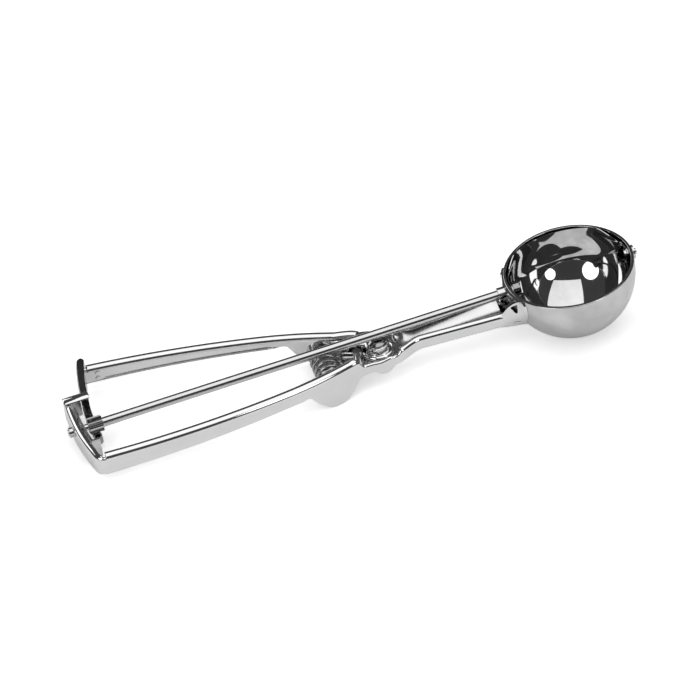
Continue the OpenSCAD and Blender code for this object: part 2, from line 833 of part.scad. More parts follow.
// Pinion with straight-sided teeth, relieved so that they clear the rack
tooth_half = tooth_module * PI / 4 - backlash;
tooth_tip_half = tooth_half * 0.42;
module pinion() {
    tip_r = pitch_r + tooth_module * tip_share;
    root_r = pitch_r - tooth_module * root_share;
    foot_r = root_r * 0.6;
    color(dark_steel) difference() {
        translate([pinion_front - pinion_l, 0, 0]) rotate([90, 0, 90]) linear_extrude(pinion_l) union() {
            circle(r = root_r);
            for (i = [0 : pinion_teeth - 1]) rotate(-90 + i * 360 / pinion_teeth) polygon([
                [foot_r, -tooth_half],
                [pitch_r, -tooth_half],
                [tip_r, -tooth_tip_half],
                [tip_r, tooth_tip_half],
                [pitch_r, tooth_half],
                [foot_r, tooth_half]]);
        }
        along_x(pinion_front - pinion_l - eps, journal_d + 2 * weld_gap, pinion_l + 2 * eps);
        pin_hole();
    }
}

module pinion_pin() {
    color(dark_steel) translate([pin_x, 0, -pitch_r]) cylinder(d = pin_d, h = 2 * pitch_r, $fn = 24);
}

module rod_end_cap() {
    color(dark_steel) difference() {
        along_x(wall_outer_x - free_gap - cap_t, journal_d + cap_t, cap_t);
        along_x(-big, journal_d + 2 * weld_gap, big);
    }
}

module scraper_hub() {
    color(dark_steel) difference() {
        along_x(hub_x, hub_d, hub_l);
        along_x(-bowl_r, rod_d + 2 * weld_gap, bowl_r);
    }
}

// Half ring that follows the bowl from pole to pole, narrowed to a tab that goes just past each pole
taper_x0 = blade_r - 1;
taper_x1 = blade_r - 7;
tab_a = asin(tab_r / blade_r);
module scraper_blade() {
    half_w = blade_w / 2;
    color(steel) rotate([-blade_rest, 0, 0]) difference() {
        intersection() {
            rotate([0, 0, -tab_a]) rotate_extrude(angle = 180 + 2 * tab_a) intersection() {
                difference() {
                    circle(r = blade_r);
                    circle(r = blade_in);
                }
                translate([0, -half_w]) square([bowl_r, blade_w]);
            }
            side_profile(-bowl_r, bowl_r) polygon([
                [-bowl_r, -tab_r], [-taper_x0, -tab_r], [-taper_x1, -half_w - eps],
                [taper_x1, -half_w - eps], [taper_x0, -tab_r], [bowl_r, -tab_r],
                [bowl_r, tab_r], [taper_x0, tab_r], [taper_x1, half_w + eps],
                [-taper_x1, half_w + eps], [-taper_x0, tab_r], [-bowl_r, tab_r]]);
        }
        along_x(-bowl_r, rod_d + 2 * weld_gap, bowl_r);
        along_x(0, trunnion_d + 2 * weld_gap, bowl_r);
    }
}

module scraper_trunnion() {
    head_d = trunnion_d + 1.8;
    head_x = sqrt(blade_in ^ 2 - (head_d / 2) ^ 2) - trunnion_head_t - weld_gap;
    trunnion_end_x = bowl_r + eyelet_flange_t + trunnion_head_t;
    color(dark_steel) {
        along_x(head_x, trunnion_d, trunnion_end_x - head_x);
        along_x(head_x, head_d, trunnion_head_t);
    }
}

bowl();
neck_bracket();
handle_frame();
rack_guide();
rear_rod_bush();
front_rod_bush();
trunnion_bush();
pivot_rivet();
pivot_washers();
stop_pin();
fixed_spring_seat();
lever_handle();
lever_bush();
rack();
rack_rivets();
lever_spring_seat();
return_spring();
drive_rod();
pinion();
pinion_pin();
rod_end_cap();
scraper_hub();
scraper_blade();
scraper_trunnion();
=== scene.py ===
"""Lever ice cream scoop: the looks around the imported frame.

Shapes are worked out in millimetres in the CAD frame and written to the meshes in metres. The
handle's outlines are worked out on the +Y side, in a plan whose origin is the lever's pivot, as
the CAD does it. In that plan x points to the bowl, u is a distance back from the pivot and w is
one outward.
"""

import json
import math
from math import cos, pi, radians, sin, sqrt, tan

import bmesh
import bpy
from mathutils import Matrix, Vector


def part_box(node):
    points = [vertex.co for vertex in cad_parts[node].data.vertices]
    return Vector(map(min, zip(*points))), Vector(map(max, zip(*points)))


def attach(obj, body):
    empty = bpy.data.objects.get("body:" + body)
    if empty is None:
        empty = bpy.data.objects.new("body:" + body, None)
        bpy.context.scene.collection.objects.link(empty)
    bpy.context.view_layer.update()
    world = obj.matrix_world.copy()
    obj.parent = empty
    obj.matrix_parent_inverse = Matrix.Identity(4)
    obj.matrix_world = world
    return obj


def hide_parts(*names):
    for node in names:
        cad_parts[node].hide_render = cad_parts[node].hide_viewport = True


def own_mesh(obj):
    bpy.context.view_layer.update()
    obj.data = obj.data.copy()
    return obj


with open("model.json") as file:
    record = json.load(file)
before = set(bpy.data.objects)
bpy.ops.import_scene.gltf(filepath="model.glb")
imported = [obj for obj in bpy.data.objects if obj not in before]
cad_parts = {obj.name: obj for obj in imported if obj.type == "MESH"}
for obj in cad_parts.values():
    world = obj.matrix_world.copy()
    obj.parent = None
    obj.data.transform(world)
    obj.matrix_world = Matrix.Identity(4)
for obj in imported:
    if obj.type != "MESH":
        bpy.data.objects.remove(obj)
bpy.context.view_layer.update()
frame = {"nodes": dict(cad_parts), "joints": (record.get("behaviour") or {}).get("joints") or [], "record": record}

MM = 0.001
JOINTS = {joint["name"]: joint for joint in frame["joints"]}

# ---- Sizes in millimetres, as in the CAD ----

PIVOT_X = JOINTS["lever_squeeze"]["pos_m"][0] / MM
SHEET = 1.0
BOWL_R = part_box("bowl")[1][0] / MM
BOWL_WALL = 1.1
RIM_RISE = 3.0

# Grip legs: height of their top, where the arcs of their plan meet, and their headings there
LEG_TOP = -3.5
LEG_RISE = tan(radians(2.95))
LEG_START, LEG_BEND, LEG_END = 15.0, 45.0, 118.0
LEG_START_W = 11.7
START_ANGLE, BEND_ANGLE, END_ANGLE = radians(19.9), radians(10), radians(0.3)
WEB_REAR, WEB_FRONT = 9.0, 5.4
LEVER_OPEN = radians(4.6)

# End wall, and the corner between it and the near leg
WALL_R = 130.0
WALL_FAR_Y = 15.2
CORNER_R = 5.0

# Pivot floor, hub and shank
FLOOR_BOTTOM = -10.3
FLOOR_FAR_W = 9.5
LOBE_BOTTOM = -18.2
HUB_BOTTOM = -9.0
HUB_TOP = -4.3
HUB_R = 7.0
SHANK_TOP = -4.2
SHANK_L = 53.0
WAIST_W, NECK_W, SHOULDER_W = 6.2, 9.0, 9.8
SHOULDER_X0, SHOULDER_X1 = 6.0, 17.0

RACK_R, RACK_T = 121.0, 3.2
TOOTH_MODULE, PINION_R = 0.7, 2.8
PRESSURE_ANGLE = radians(20)

SPRING_BACK, SPRING_Z = 22.0, -12.0
SPRING_R, WIRE_R, TURNS = 5.3, 0.7, 6

# ---- Sizes in millimetres that are only for looks ----

# Rolled top edges: their radii, that of a web without one, and the angle where a roll ends
LEG_ROLL, WALL_ROLL, CHEEK_ROLL, SHANK_ROLL = 2.27, 1.7, 0.8, 1.8
FLAT = SHEET + 0.06
ROLL_END = radians(20)
ROLL_LIFT = 0.8
LEVER_BULGE = 0.7
# How far the lever's top is lowered at its ends, where it has no rolled edge
TIP_DROP = 1.4

# Lips along the webs' bottoms: radius and width
LEG_LIP, SHANK_LIP = (0.9, 1.2), (1.6, 2.1)
LIP_START = 38.5

# Shank's hollow floor: how round it is for its half width, and where in front of the pivot it
# starts and is at its full depth
TROUGH = 0.47
TROUGH_START, TROUGH_FULL = 9, 12

# Distance at which points of a mesh are one
WELD = 1e-5


# ---- Mesh helpers ----

def add_piece(name, bm, body, material, replaced, sharp=38, other=None, is_other=None):
    """Makes an object of a mesh in millimetres and ties it to the frame.

    It is smooth apart from edges over the sharp angle. Faces that is_other picks, or that the
    mesh has marked, are in the other material.
    """
    bmesh.ops.remove_doubles(bm, verts=bm.verts, dist=WELD)
    bmesh.ops.recalc_face_normals(bm, faces=bm.faces)
    bm.normal_update()
    for face in bm.faces:
        face.smooth = True
        if is_other:
            face.material_index = int(is_other(face))
    for edge in bm.edges:
        if len(edge.link_faces) == 2 and edge.calc_face_angle() > radians(sharp):
            edge.smooth = False
    bmesh.ops.scale(bm, vec=(MM, MM, MM), verts=bm.verts)
    mesh = bpy.data.meshes.new(name)
    bm.to_mesh(mesh)
    bm.free()
    mesh.materials.append(material)
    if other:
        mesh.materials.append(other)
    obj = bpy.data.objects.new(name, mesh)
    bpy.context.scene.collection.objects.link(obj)
    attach(obj, body)
    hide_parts(*replaced)
    return obj


def sweep(bm, rings, closed=False):
    """Joins rings of equally many points with quads, and caps both ends unless it is closed."""
    verts = [[bm.verts.new(p) for p in ring] for ring in rings]
    count = len(rings[0])
    last = len(rings) if closed else len(rings) - 1
    for i in range(last):
        a, b = verts[i], verts[(i + 1) % len(rings)]
        for j in range(count):
            k = (j + 1) % count
            bm.faces.new((a[j], a[k], b[k], b[j]))
    if not closed:
        bm.faces.new(verts[0])
        bm.faces.new(list(reversed(verts[-1])))


def revolve(bm, profile, centre, steps=96):
    """Turns a closed outline of (radius, height) about an upright axis through a centre."""
    rings = []
    for i in range(steps):
        a = 2 * pi * i / steps
        rings.append([centre + Vector((r * cos(a), r * sin(a), h)) for r, h in profile])
    sweep(bm, rings, closed=True)


def spline(keys, x):
    """Smooth curve through (x, y) keys in rising x, flat beyond its ends."""
    if x <= keys[0][0]:
        return keys[0][1]
    if x >= keys[-1][0]:
        return keys[-1][1]
    i = max(n for n in range(len(keys) - 1) if keys[n][0] <= x)

    def slope(n):
        lo, hi = max(n - 1, 0), min(n + 1, len(keys) - 1)
        return (keys[hi][1] - keys[lo][1]) / (keys[hi][0] - keys[lo][0])

    (x0, y0), (x1, y1) = keys[i], keys[i + 1]
    h = x1 - x0
    t = (x - x0) / h
    return ((2 * t ** 3 - 3 * t * t + 1) * y0 + (t ** 3 - 2 * t * t + t) * h * slope(i)
            + (3 * t * t - 2 * t ** 3) * y1 + (t ** 3 - t * t) * h * slope(i + 1))


def ramp(x, x0, x1):
    """Smooth step from 0 at x0 to 1 at x1."""
    t = min(max((x - x0) / (x1 - x0), 0), 1)
    return t * t * (3 - 2 * t)


def bullet(x, end, length):
    """Rises from 0 at an end to 1 over a length, round like the tip of a bullet."""
    t = min(max((x - end) / length, 0), 1)
    return sqrt(max(1 - (1 - t) ** 2, 0))


def thicken(line, t):
    """Closed outline of a strip of thickness t about a centre line, with round ends."""
    normals = []
    for i in range(len(line)):
        a, b = line[max(i - 1, 0)], line[min(i + 1, len(line) - 1)]
        d = (Vector(b) - Vector(a)).normalized()
        normals.append(Vector((-d.y, d.x)))
    one = [Vector(p) + n * t / 2 for p, n in zip(line, normals)]
    two = [Vector(p) - n * t / 2 for p, n in zip(line, normals)]

    def cap(p, n):
        out = []
        for a in (-pi / 4, -pi / 2, -3 * pi / 4):
            way = Vector((n.x * cos(a) - n.y * sin(a), n.x * sin(a) + n.y * cos(a)))
            out.append(Vector(p) + way * t / 2)
        return out

    return one + cap(line[-1], normals[-1]) + two[::-1] + cap(line[0], -normals[0])


def rounded_rect(w, h, r, steps=4):
    """Outline of a rectangle with round corners, about its centre."""
    out = []
    for cx, cy, a0 in ((w / 2 - r, h / 2 - r, 0), (r - w / 2, h / 2 - r, 90),
                       (r - w / 2, r - h / 2, 180), (w / 2 - r, r - h / 2, 270)):
        for i in range(steps + 1):
            a = radians(a0 + 90 * i / steps)
            out.append(Vector((cx + r * cos(a), cy + r * sin(a))))
    return out


def plate(bm, outline, z0, z1, edge=0.2):
    """Flat plate with eased edges, from an outline in plan."""
    points = [Vector(p) for p in outline]

    def ring(inset, z):
        out = []
        for i, p in enumerate(points):
            d = (points[(i + 1) % len(points)] - points[i - 1]).normalized()
            out.append(Vector((p.x - d.y * inset, p.y + d.x * inset, z)))
        return out

    area = sum(outline[i - 1][0] * outline[i][1] - outline[i][0] * outline[i - 1][1]
               for i in range(len(outline)))
    sign = 1 if area > 0 else -1
    rings = []
    for z, outward in ((z0, 1), (z1, -1)):
        step = [(edge, 0), (edge * 0.3, edge * 0.3), (0, edge)]
        part = [ring(sign * inset, z + outward * rise) for inset, rise in step]
        rings += part if outward > 0 else part[::-1]
    sweep(bm, rings)


def shell(bm, grid, thickness, skip=lambda i, j: False):
    """Makes a plate of a grid of points, with holes where quads are skipped."""
    verts = [[bm.verts.new(p) for p in row] for row in grid]
    faces = []
    for i in range(len(grid) - 1):
        for j in range(len(grid[0]) - 1):
            if not skip(i, j):
                quad = (verts[i][j], verts[i][j + 1], verts[i + 1][j + 1], verts[i + 1][j])
                faces.append(bm.faces.new(quad))
    made = bmesh.ops.solidify(bm, geom=faces, thickness=thickness)
    return faces + [f for f in made["geom"] if isinstance(f, bmesh.types.BMFace)]


# ---- Which faces show a second steel ----

def is_upright(face):
    """Whether a face stands upright, as the webs do."""
    return abs(face.normal.z) < 0.12


def is_trough(face):
    """Whether a face is on the floor of the shank."""
    centre = face.calc_center_median()
    in_shank = centre.x > PIVOT_X + TROUGH_START - 0.5 and centre.z < FLOOR_BOTTOM + 4.5
    return in_shank and abs(face.normal.z) > 0.5


def is_tongue(face):
    """Whether a face of the rack is on its tongue inside the lever."""
    centre = face.calc_center_median()
    return math.hypot(centre.x - PIVOT_X, centre.y) < RACK_R - RACK_T / 2 - 0.3


# ---- Outlines of the handle ----

def arc_run(u0, w0, a0, u1, a1, steps):
    """Points (back, out, heading) along an arc between two headings."""
    r = (u1 - u0) / (sin(a0) - sin(a1))
    headings = [a0 + (a1 - a0) * i / steps for i in range(steps + 1)]
    return [(u0 + r * (sin(a0) - sin(a)), w0 + r * (cos(a) - cos(a0)), a) for a in headings]


FRONT_RUN = arc_run(LEG_START, LEG_START_W, START_ANGLE, LEG_BEND, BEND_ANGLE, 40)
REAR_RUN = arc_run(LEG_BEND, FRONT_RUN[-1][1], BEND_ANGLE, LEG_END, END_ANGLE, 30)
LEG_RUN = FRONT_RUN + REAR_RUN[1:]
LEG_END_W = LEG_RUN[-1][1]


def top_z(u):
    """Height of the legs' top at a distance back."""
    return LEG_TOP + u * LEG_RISE


def bottom_z(u):
    """Height of the legs' bottom at a distance back."""
    return top_z(u) - WEB_FRONT - (WEB_REAR - WEB_FRONT) * (u - LEG_START) / (WALL_R - LEG_START)


# Half width of the cheek beside the pivot
CHEEK_W_KEYS = [(-LEG_START, LEG_START_W), (-11.5, 10.6), (-8, 10.3), (-2, 10.4), (2, 10.2),
                (SHOULDER_X0, SHOULDER_W)]
# Height of the near web's bottom, with its two lobes
LOBE_KEYS = [(-38.5, bottom_z(38.5)), (-34.5, bottom_z(34.5) - 0.1), (-31.6, -11.9),
             (-29.2, -14.6), (-26.2, -17.1), (-22.0, LOBE_BOTTOM), (-18.5, -17.7),
             (-15.0, -15.4), (-12.4, -12.4), (-10.0, -10.9), (-7.0, -10.5), (-4.6, -10.8),
             (-2.6, -12.3), (-0.4, -12.9), (1.6, -12.5), (3.4, -11.2), (5.4, -10.4),
             (8.0, FLOOR_BOTTOM)]
# Height of the near web's top beside the pivot
CHEEK_KEYS = [(-14.0, top_z(14) + ROLL_LIFT), (-11.0, top_z(11) + 0.6), (-9.8, -5.0),
              (-8.6, -5.9), (-5.0, -6.1), (-1.5, -6.4), (2.5, -5.9), (4.4, -6.3), (6.2, -5.7),
              (7.4, -4.4), (9.0, SHANK_TOP)]

# Outlines of the lever's two cheeks, as (x, w) before it is turned to its place at rest
CHEEK_OUTER_EDGE = [(-12, 10.3), (-9, 10.0), (-6.5, 9.9), (-4.0, 9.7), (-1.9, 9.1), (0.2, 8.0),
                    (2.2, 6.6)]
UPPER_CHEEK = [(-4.4, 0.9), (-10.5, 2.6), (-15.4, 4.8), (-18.4, 7.2), (-20.6, 9.6),
               (-19.6, 11.6), (-17.5, 11.6), (-15, 10.9), *CHEEK_OUTER_EDGE, (3.0, 5.2),
               (-1.9, 3.4)]
LOWER_CHEEK = [(-4.4, 0.9), (-10.5, 2.6), (-14.6, 4.4), *CHEEK_OUTER_EDGE]
# Section of the hub, as (radius, height), with a raised ring round its lower part
HUB_SECTION = [(3.8, -4.45), (3.95, HUB_TOP), (4.5, HUB_TOP), (4.85, -4.45), (5.0, -4.8),
               (5.05, -6.6), (5.2, -7.2), (5.45, -7.1), (5.75, -6.97), (6.05, -6.95),
               (6.4, -7.05), (6.7, -7.3), (6.88, -7.6), (6.95, -7.95), (6.88, -8.3),
               (6.7, -8.6), (6.4, -8.85), (6.05, HUB_BOTTOM), (3.8, HUB_BOTTOM)]


def shank_w(x):
    """Half width of the shank and of the pivot's cheek at a distance in front of the pivot."""
    if x >= SHOULDER_X1:
        return WAIST_W + (NECK_W - WAIST_W) * (x - SHOULDER_X1) / (SHANK_L - SHOULDER_X1)
    if x >= SHOULDER_X0:
        s = (x - SHOULDER_X0) / (SHOULDER_X1 - SHOULDER_X0)
        return WAIST_W + (SHOULDER_W - WAIST_W) * (1 + cos(pi * s)) / 2
    return spline(CHEEK_W_KEYS, x)


def shank_places(end, fine_from):
    """Places from the shank's front end back to an end, closer together from a place on."""
    coarse, fine = 1.0, 0.4
    x = SHANK_L
    while x > end:
        yield x
        x -= coarse if x > fine_from else fine


class Station:
    """A place on the outside of a sheet: its point, its inward direction and its section."""

    def __init__(self, x, y, nx, ny, top, roll, bottom, lip, lip_size=LEG_LIP, bulge=0.0):
        self.point, self.inward = (x, y), (nx, ny)
        self.section = sheet_section(top, roll, bottom, lip, lip_size, bulge)

    def ring(self, place):
        (x, y), (nx, ny) = self.point, self.inward
        return [place(x + d * nx, y + d * ny, z) for d, z in self.section]


def sheet_section(top, roll, bottom, lip, lip_size, bulge):
    """Section of a web with a rolled top edge and a lip at its bottom, as (inward, up) points.

    The lip is a share of its full turn, and the bulge is how far the roll stands outwards.
    """
    lip_r, lip_w = lip_size
    turn = radians(90) * max(lip, 0.1)
    r = lip_r - SHEET / 2
    run = (lip_w - lip_r) * max(lip, 0.04)
    lip_z = bottom + (r * sin(turn) + SHEET / 2)
    line = []
    end = (lip_r - r * cos(turn), lip_z - r * sin(turn))
    way = (sin(turn), -cos(turn))
    for k in (1.0, 0.5):
        line.append((end[0] + way[0] * run * k, end[1] + way[1] * run * k))
    for i in range(7):
        a = turn * (1 - i / 6)
        line.append((lip_r - r * cos(a), lip_z - r * sin(a)))
    roll_z = top - roll
    roll_r = roll - SHEET / 2
    start = pi + math.acos(1 - bulge / roll_r)
    for k in (0.25, 0.5, 0.75):
        line.append((SHEET / 2, lip_z + (roll_z + roll_r * sin(start) - lip_z) * k))
    for i in range(17):
        a = start + (ROLL_END - start) * i / 16
        line.append((roll - bulge + roll_r * cos(a), roll_z + roll_r * sin(a)))
    return thicken(line, SHEET)


def mirrored(x, y, z):
    """Places a point of the plan on the fixed side."""
    return Vector((PIVOT_X + x, -y, z))


def fixed_far(x, y, z):
    """Places a point of the plan on the far side of the fixed group."""
    return Vector((PIVOT_X + x, y, z))


def on_lever(x, y, z):
    """Places a point of the plan on the lever at rest."""
    c, s = cos(-LEVER_OPEN), sin(-LEVER_OPEN)
    return Vector((PIVOT_X + c * x - s * y, s * x + c * y, z))


def leg_station(u, w, heading, roll, lip, drop=0.0, bottom=None, bulge=0.0):
    """Station of a leg. Its top is lowered by the drop, and a roll that fades bulges less."""
    if bottom is None:
        bottom = spline(LOBE_KEYS, -u) if u < LIP_START else bottom_z(u)
    share = (roll - FLAT) / (LEG_ROLL - FLAT)
    return Station(-u, w, -sin(heading), -cos(heading), top_z(u) + ROLL_LIFT - drop, roll, bottom,
                   lip, bulge=bulge * share)


def leg_lip(u):
    """How much of the lip a leg has at a distance back."""
    return ramp(u, LIP_START - 3, LIP_START + 4)


# ---- Handle frame ----

# Ends of the rolled edges beside the pivot, each as a place and the length over which the roll
# comes up: in x where that is towards the bowl, and in u where it is towards the grip
SHANK_ROLL_END, CHEEK_ROLL_REAR = (6.6, 1.4), (-9.0, 2.5)
CHEEK_ROLL_FRONT, LEG_ROLL_END = (-4.2, 2.0), (10.0, 1.8)
# Where the cheek turns to the leg's heading, in u, and where the shank's lip comes up, in x
HEADING_TURN, SHANK_LIP_RISE = (8, 10.5), (5.5, 9)

# Corner, in degrees from the leg: where the leg's roll fades, the end and length of the wall's,
# and where the lip fades. The top is lowered by the notch between the two rolls.
CORNER_LEG_FADE, CORNER_WALL_ROLL, CORNER_LIP_FADE = (5, 9), (28, 14), (20, 70)
CORNER_NOTCH = 0.5


def near_front_stations():
    """Stations of the near shank, waist and cheek, from the neck back to the leg."""
    out = []
    for x in shank_places(end=-LEG_START + 0.3, fine_from=12):
        heading = START_ANGLE * ramp(-x, *HEADING_TURN)
        front = FLAT + (SHANK_ROLL - FLAT) * bullet(x, *SHANK_ROLL_END)
        on_cheek = bullet(-x, *CHEEK_ROLL_FRONT) * bullet(x, *CHEEK_ROLL_REAR)
        cheek = (CHEEK_ROLL - FLAT) * on_cheek
        leg = FLAT + (LEG_ROLL - FLAT) * bullet(-x, *LEG_ROLL_END)
        out.append(Station(x, shank_w(x), -sin(heading), -cos(heading), spline(CHEEK_KEYS, x),
                           max(front + cheek, leg), spline(LOBE_KEYS, x),
                           ramp(x, *SHANK_LIP_RISE), SHANK_LIP))
    return out


def corner_and_wall_stations():
    """Stations from the leg's end round the corner and along the end wall."""
    out = []
    # The corner's centre is on a line beside the leg, where the end wall is a corner's radius away
    dx, dy = -cos(END_ANGLE), sin(END_ANGLE)
    bx, by = -(LEG_END + CORNER_R * sin(END_ANGLE)), LEG_END_W - CORNER_R * cos(END_ANGLE)
    dot = bx * dx + by * dy
    run = -dot + sqrt(dot * dot - bx * bx - by * by + (WALL_R - CORNER_R) ** 2)
    cx, cy = bx + run * dx, by + run * dy
    for k in (0.4, 0.8):
        out.append(leg_station(LEG_END + run * k * cos(END_ANGLE),
                               LEG_END_W + run * k * sin(END_ANGLE), END_ANGLE, LEG_ROLL, 1))
    leg_a, wall_a = pi / 2 - END_ANGLE, math.atan2(cy, cx)
    corner_steps = 36
    for i in range(corner_steps + 1):
        a = leg_a + (wall_a - leg_a) * i / corner_steps
        turned = math.degrees(a - leg_a)
        px, py = cx + CORNER_R * cos(a), cy + CORNER_R * sin(a)
        leg_part = 1 - ramp(turned, *CORNER_LEG_FADE)
        wall_part = bullet(turned, *CORNER_WALL_ROLL)
        roll = FLAT + (LEG_ROLL - FLAT) * leg_part + (WALL_ROLL - FLAT) * wall_part
        notch = CORNER_NOTCH * (1 - max(leg_part, wall_part))
        out.append(Station(px, py, -cos(a), -sin(a), top_z(-px) + ROLL_LIFT * leg_part - notch,
                           roll, bottom_z(-px), 1 - ramp(turned, *CORNER_LIP_FADE)))
    far_a = pi - math.asin(-WALL_FAR_Y / WALL_R)
    wall_steps = 26
    for i in range(1, wall_steps + 1):
        a = wall_a + (far_a - wall_a) * i / wall_steps
        out.append(Station(WALL_R * cos(a), WALL_R * sin(a), -cos(a), -sin(a), top_z(WALL_R),
                           WALL_ROLL, bottom_z(WALL_R), 0))
    return out


def frame_near():
    """Stations of the near side: shank, waist, cheek, leg, corner and end wall."""
    leg = [leg_station(u, w, heading, LEG_ROLL, leg_lip(u)) for u, w, heading in LEG_RUN]
    return near_front_stations() + leg + corner_and_wall_stations()


def frame_far():
    """Stations of the shank's far wall, which rises from a low end beside the hub."""
    low_top = FLOOR_BOTTOM + 2.6
    out = []
    for x in shank_places(end=HUB_R + 1.2, fine_from=13):
        top = low_top + (SHANK_TOP - low_top) * ramp(x, HUB_R + 1, HUB_R + 3.6)
        roll = FLAT + (SHANK_ROLL - FLAT) * bullet(x, HUB_R + 2.4, 2)
        out.append(Station(x, shank_w(x), 0, -1, top, roll, FLOOR_BOTTOM, 1, SHANK_LIP))
    return out


def build_frame(material, flat_material):
    """The pressing with the near leg, end wall, pivot cheek, pivot floor and shank."""
    bm = bmesh.new()
    sweep(bm, [s.ring(mirrored) for s in frame_near()])
    sweep(bm, [s.ring(fixed_far) for s in frame_far()])
    build_floor(bm)
    build_tab(bm)
    add_piece("handle_frame_sheet", bm, "handle", material, ("handle_frame",),
              other=flat_material, is_other=lambda face: is_upright(face) or is_trough(face))


def build_floor(bm):
    """Hollow floor of the shank, and the flat floor under it that runs on beneath the hub."""
    # How far inside the sheet's outer face they end
    wall_inset, flat_inset, cheek_inset = 1.1, 1.9, 0.8
    xs = [SHANK_L - i for i in range(int(SHANK_L - TROUGH_START) + 1)]
    rings = []
    for x in xs:
        reach = shank_w(x) - wall_inset
        bowed = TROUGH / reach * ramp(x, TROUGH_START, TROUGH_FULL)
        ys = [reach * k / 10 for k in range(-10, 11)]
        upper = [fixed_far(x, y, FLOOR_BOTTOM + SHEET + bowed * y * y) for y in ys]
        lower = [fixed_far(x, y, FLOOR_BOTTOM + 0.1 + bowed * y * y * 0.9) for y in ys[::-1]]
        rings.append(upper + lower)
    sweep(bm, rings)
    # Places along the flat floor's two sides
    beside_hub = (4, 0, -4, -8, -12, -15.8)
    near = [(PIVOT_X + x, flat_inset - shank_w(x)) for x in xs]
    near += [(PIVOT_X + x, cheek_inset - shank_w(x)) for x in (7, *beside_hub)]
    far = [(PIVOT_X + x, shank_w(x) - flat_inset) for x in xs]
    far.append((PIVOT_X + 8, FLOOR_FAR_W - 0.4))
    far += [(PIVOT_X + x, FLOOR_FAR_W) for x in (7.4, *beside_hub)]
    plate(bm, near + far[::-1], FLOOR_BOTTOM, FLOOR_BOTTOM + SHEET)


def build_tab(bm):
    """Ear at the end wall's far end: a bridge over the rack, a tongue behind it and a post."""
    tab_y = WALL_FAR_Y + SHEET + 0.2
    # The tongue is from the wall to just behind the rack, and the bridge goes on to its front
    wall_x = -sqrt(WALL_R ** 2 - WALL_FAR_Y ** 2)
    back_x = -sqrt((RACK_R + RACK_T / 2) ** 2 - (tab_y - SHEET) ** 2) - 0.3
    front_x = -sqrt((RACK_R - RACK_T / 2) ** 2 - tab_y ** 2)
    rear_top = top_z(WALL_R - SHEET)
    rear_bottom = rear_top - WEB_REAR
    bridge_z = rear_top + 0.4
    tongue_top = bridge_z + 0.3

    y0, y1 = tab_y - 3.4, tab_y + 1.3
    mid_y, mid_z, half = (y0 + y1) / 2, bridge_z + SHEET / 2, (y1 - y0) / 2
    section = [Vector((half * cos(radians(a)), SHEET * (sin(radians(a)) - 0.5)))
               for a in range(0, 181, 12)]
    rings = []
    for x, k in ((wall_x, 0.55), (wall_x + 0.25, 0.85), (wall_x + 0.6, 1), (front_x - 0.6, 1),
                 (front_x - 0.2, 0.88), (front_x, 0.6)):
        rings.append([fixed_far(x, mid_y + p.x * (0.8 + 0.2 * k), mid_z + p.y * k)
                      for p in section])
    sweep(bm, rings)

    tongue = rounded_rect(back_x - wall_x, tongue_top - rear_bottom, 0.4)
    cx, cz = (wall_x + back_x) / 2, (tongue_top + rear_bottom) / 2
    rings = []
    for y, k in ((tab_y - SHEET, 0.97), (tab_y - SHEET + 0.15, 1), (tab_y - 0.15, 1),
                 (tab_y, 0.97)):
        rings.append([fixed_far(cx + p.x * k, y, cz + p.y * k) for p in tongue])
    sweep(bm, rings)

    post = rounded_rect(1.2, 1.4, 0.3)
    sweep(bm, [[fixed_far(wall_x + 0.62 + p.x, tab_y - 0.8 + p.y, z) for p in post]
               for z in (rear_bottom + 0.1, tongue_top)])


# ---- Lever ----

def lever_stations():
    """Stations of the lever's leg, from its round front end beside the hub to the rack."""
    out = []
    tip, slant, curve = 5.0, 0.12, 0.009
    u = tip + 0.2
    while u < LEG_START - 0.2:
        ahead = LEG_START - u
        w = LEG_START_W - slant * ahead - curve * ahead * ahead
        heading = START_ANGLE + math.atan(2 * curve * ahead)
        roll = FLAT + (LEG_ROLL - FLAT) * bullet(u, tip, 3.0)
        drop = TIP_DROP * (1 - bullet(u, tip, 4.5))
        lobe = spline(LOBE_KEYS, -u)
        bottom = HUB_BOTTOM + (lobe - HUB_BOTTOM) * ramp(u, 12, LEG_START)
        out.append(leg_station(u, w, heading, roll, 0, drop, bottom, LEVER_BULGE))
        u += 0.4
    for u, w, heading in LEG_RUN[:-1]:
        out.append(leg_station(u, w, heading, LEG_ROLL, leg_lip(u), bulge=LEVER_BULGE))
    # The rolled edge ends short of the rack
    for back, roll, drop in ((2.2, LEG_ROLL, 0), (2.0, LEG_ROLL - 0.2, 0.1),
                             (1.9, FLAT, TIP_DROP), (0, FLAT, TIP_DROP)):
        w = LEG_END_W - back * sin(END_ANGLE)
        out.append(leg_station(LEG_END - back, w, END_ANGLE, roll, 1, drop, bulge=LEVER_BULGE))
    return out


def build_lever(material, flat_material):
    """The far leg, its hub and the two cheeks that join them."""
    bm = bmesh.new()
    sweep(bm, [s.ring(on_lever) for s in lever_stations()])
    revolve(bm, HUB_SECTION, Vector((PIVOT_X, 0, 0)))
    inset = 0.05
    for outline, bottom in ((UPPER_CHEEK, HUB_TOP - SHEET - inset),
                            (LOWER_CHEEK, HUB_BOTTOM + inset)):
        start = len(bm.verts)
        plate(bm, outline, bottom, bottom + SHEET)
        bm.verts.ensure_lookup_table()
        for v in bm.verts[start:]:
            v.co = on_lever(v.co.x, v.co.y, v.co.z)
    add_piece("lever_handle_sheet", bm, "lever", material, ("lever_handle",),
              other=flat_material, is_other=is_upright)


# ---- Bowl, bracket and blade ----

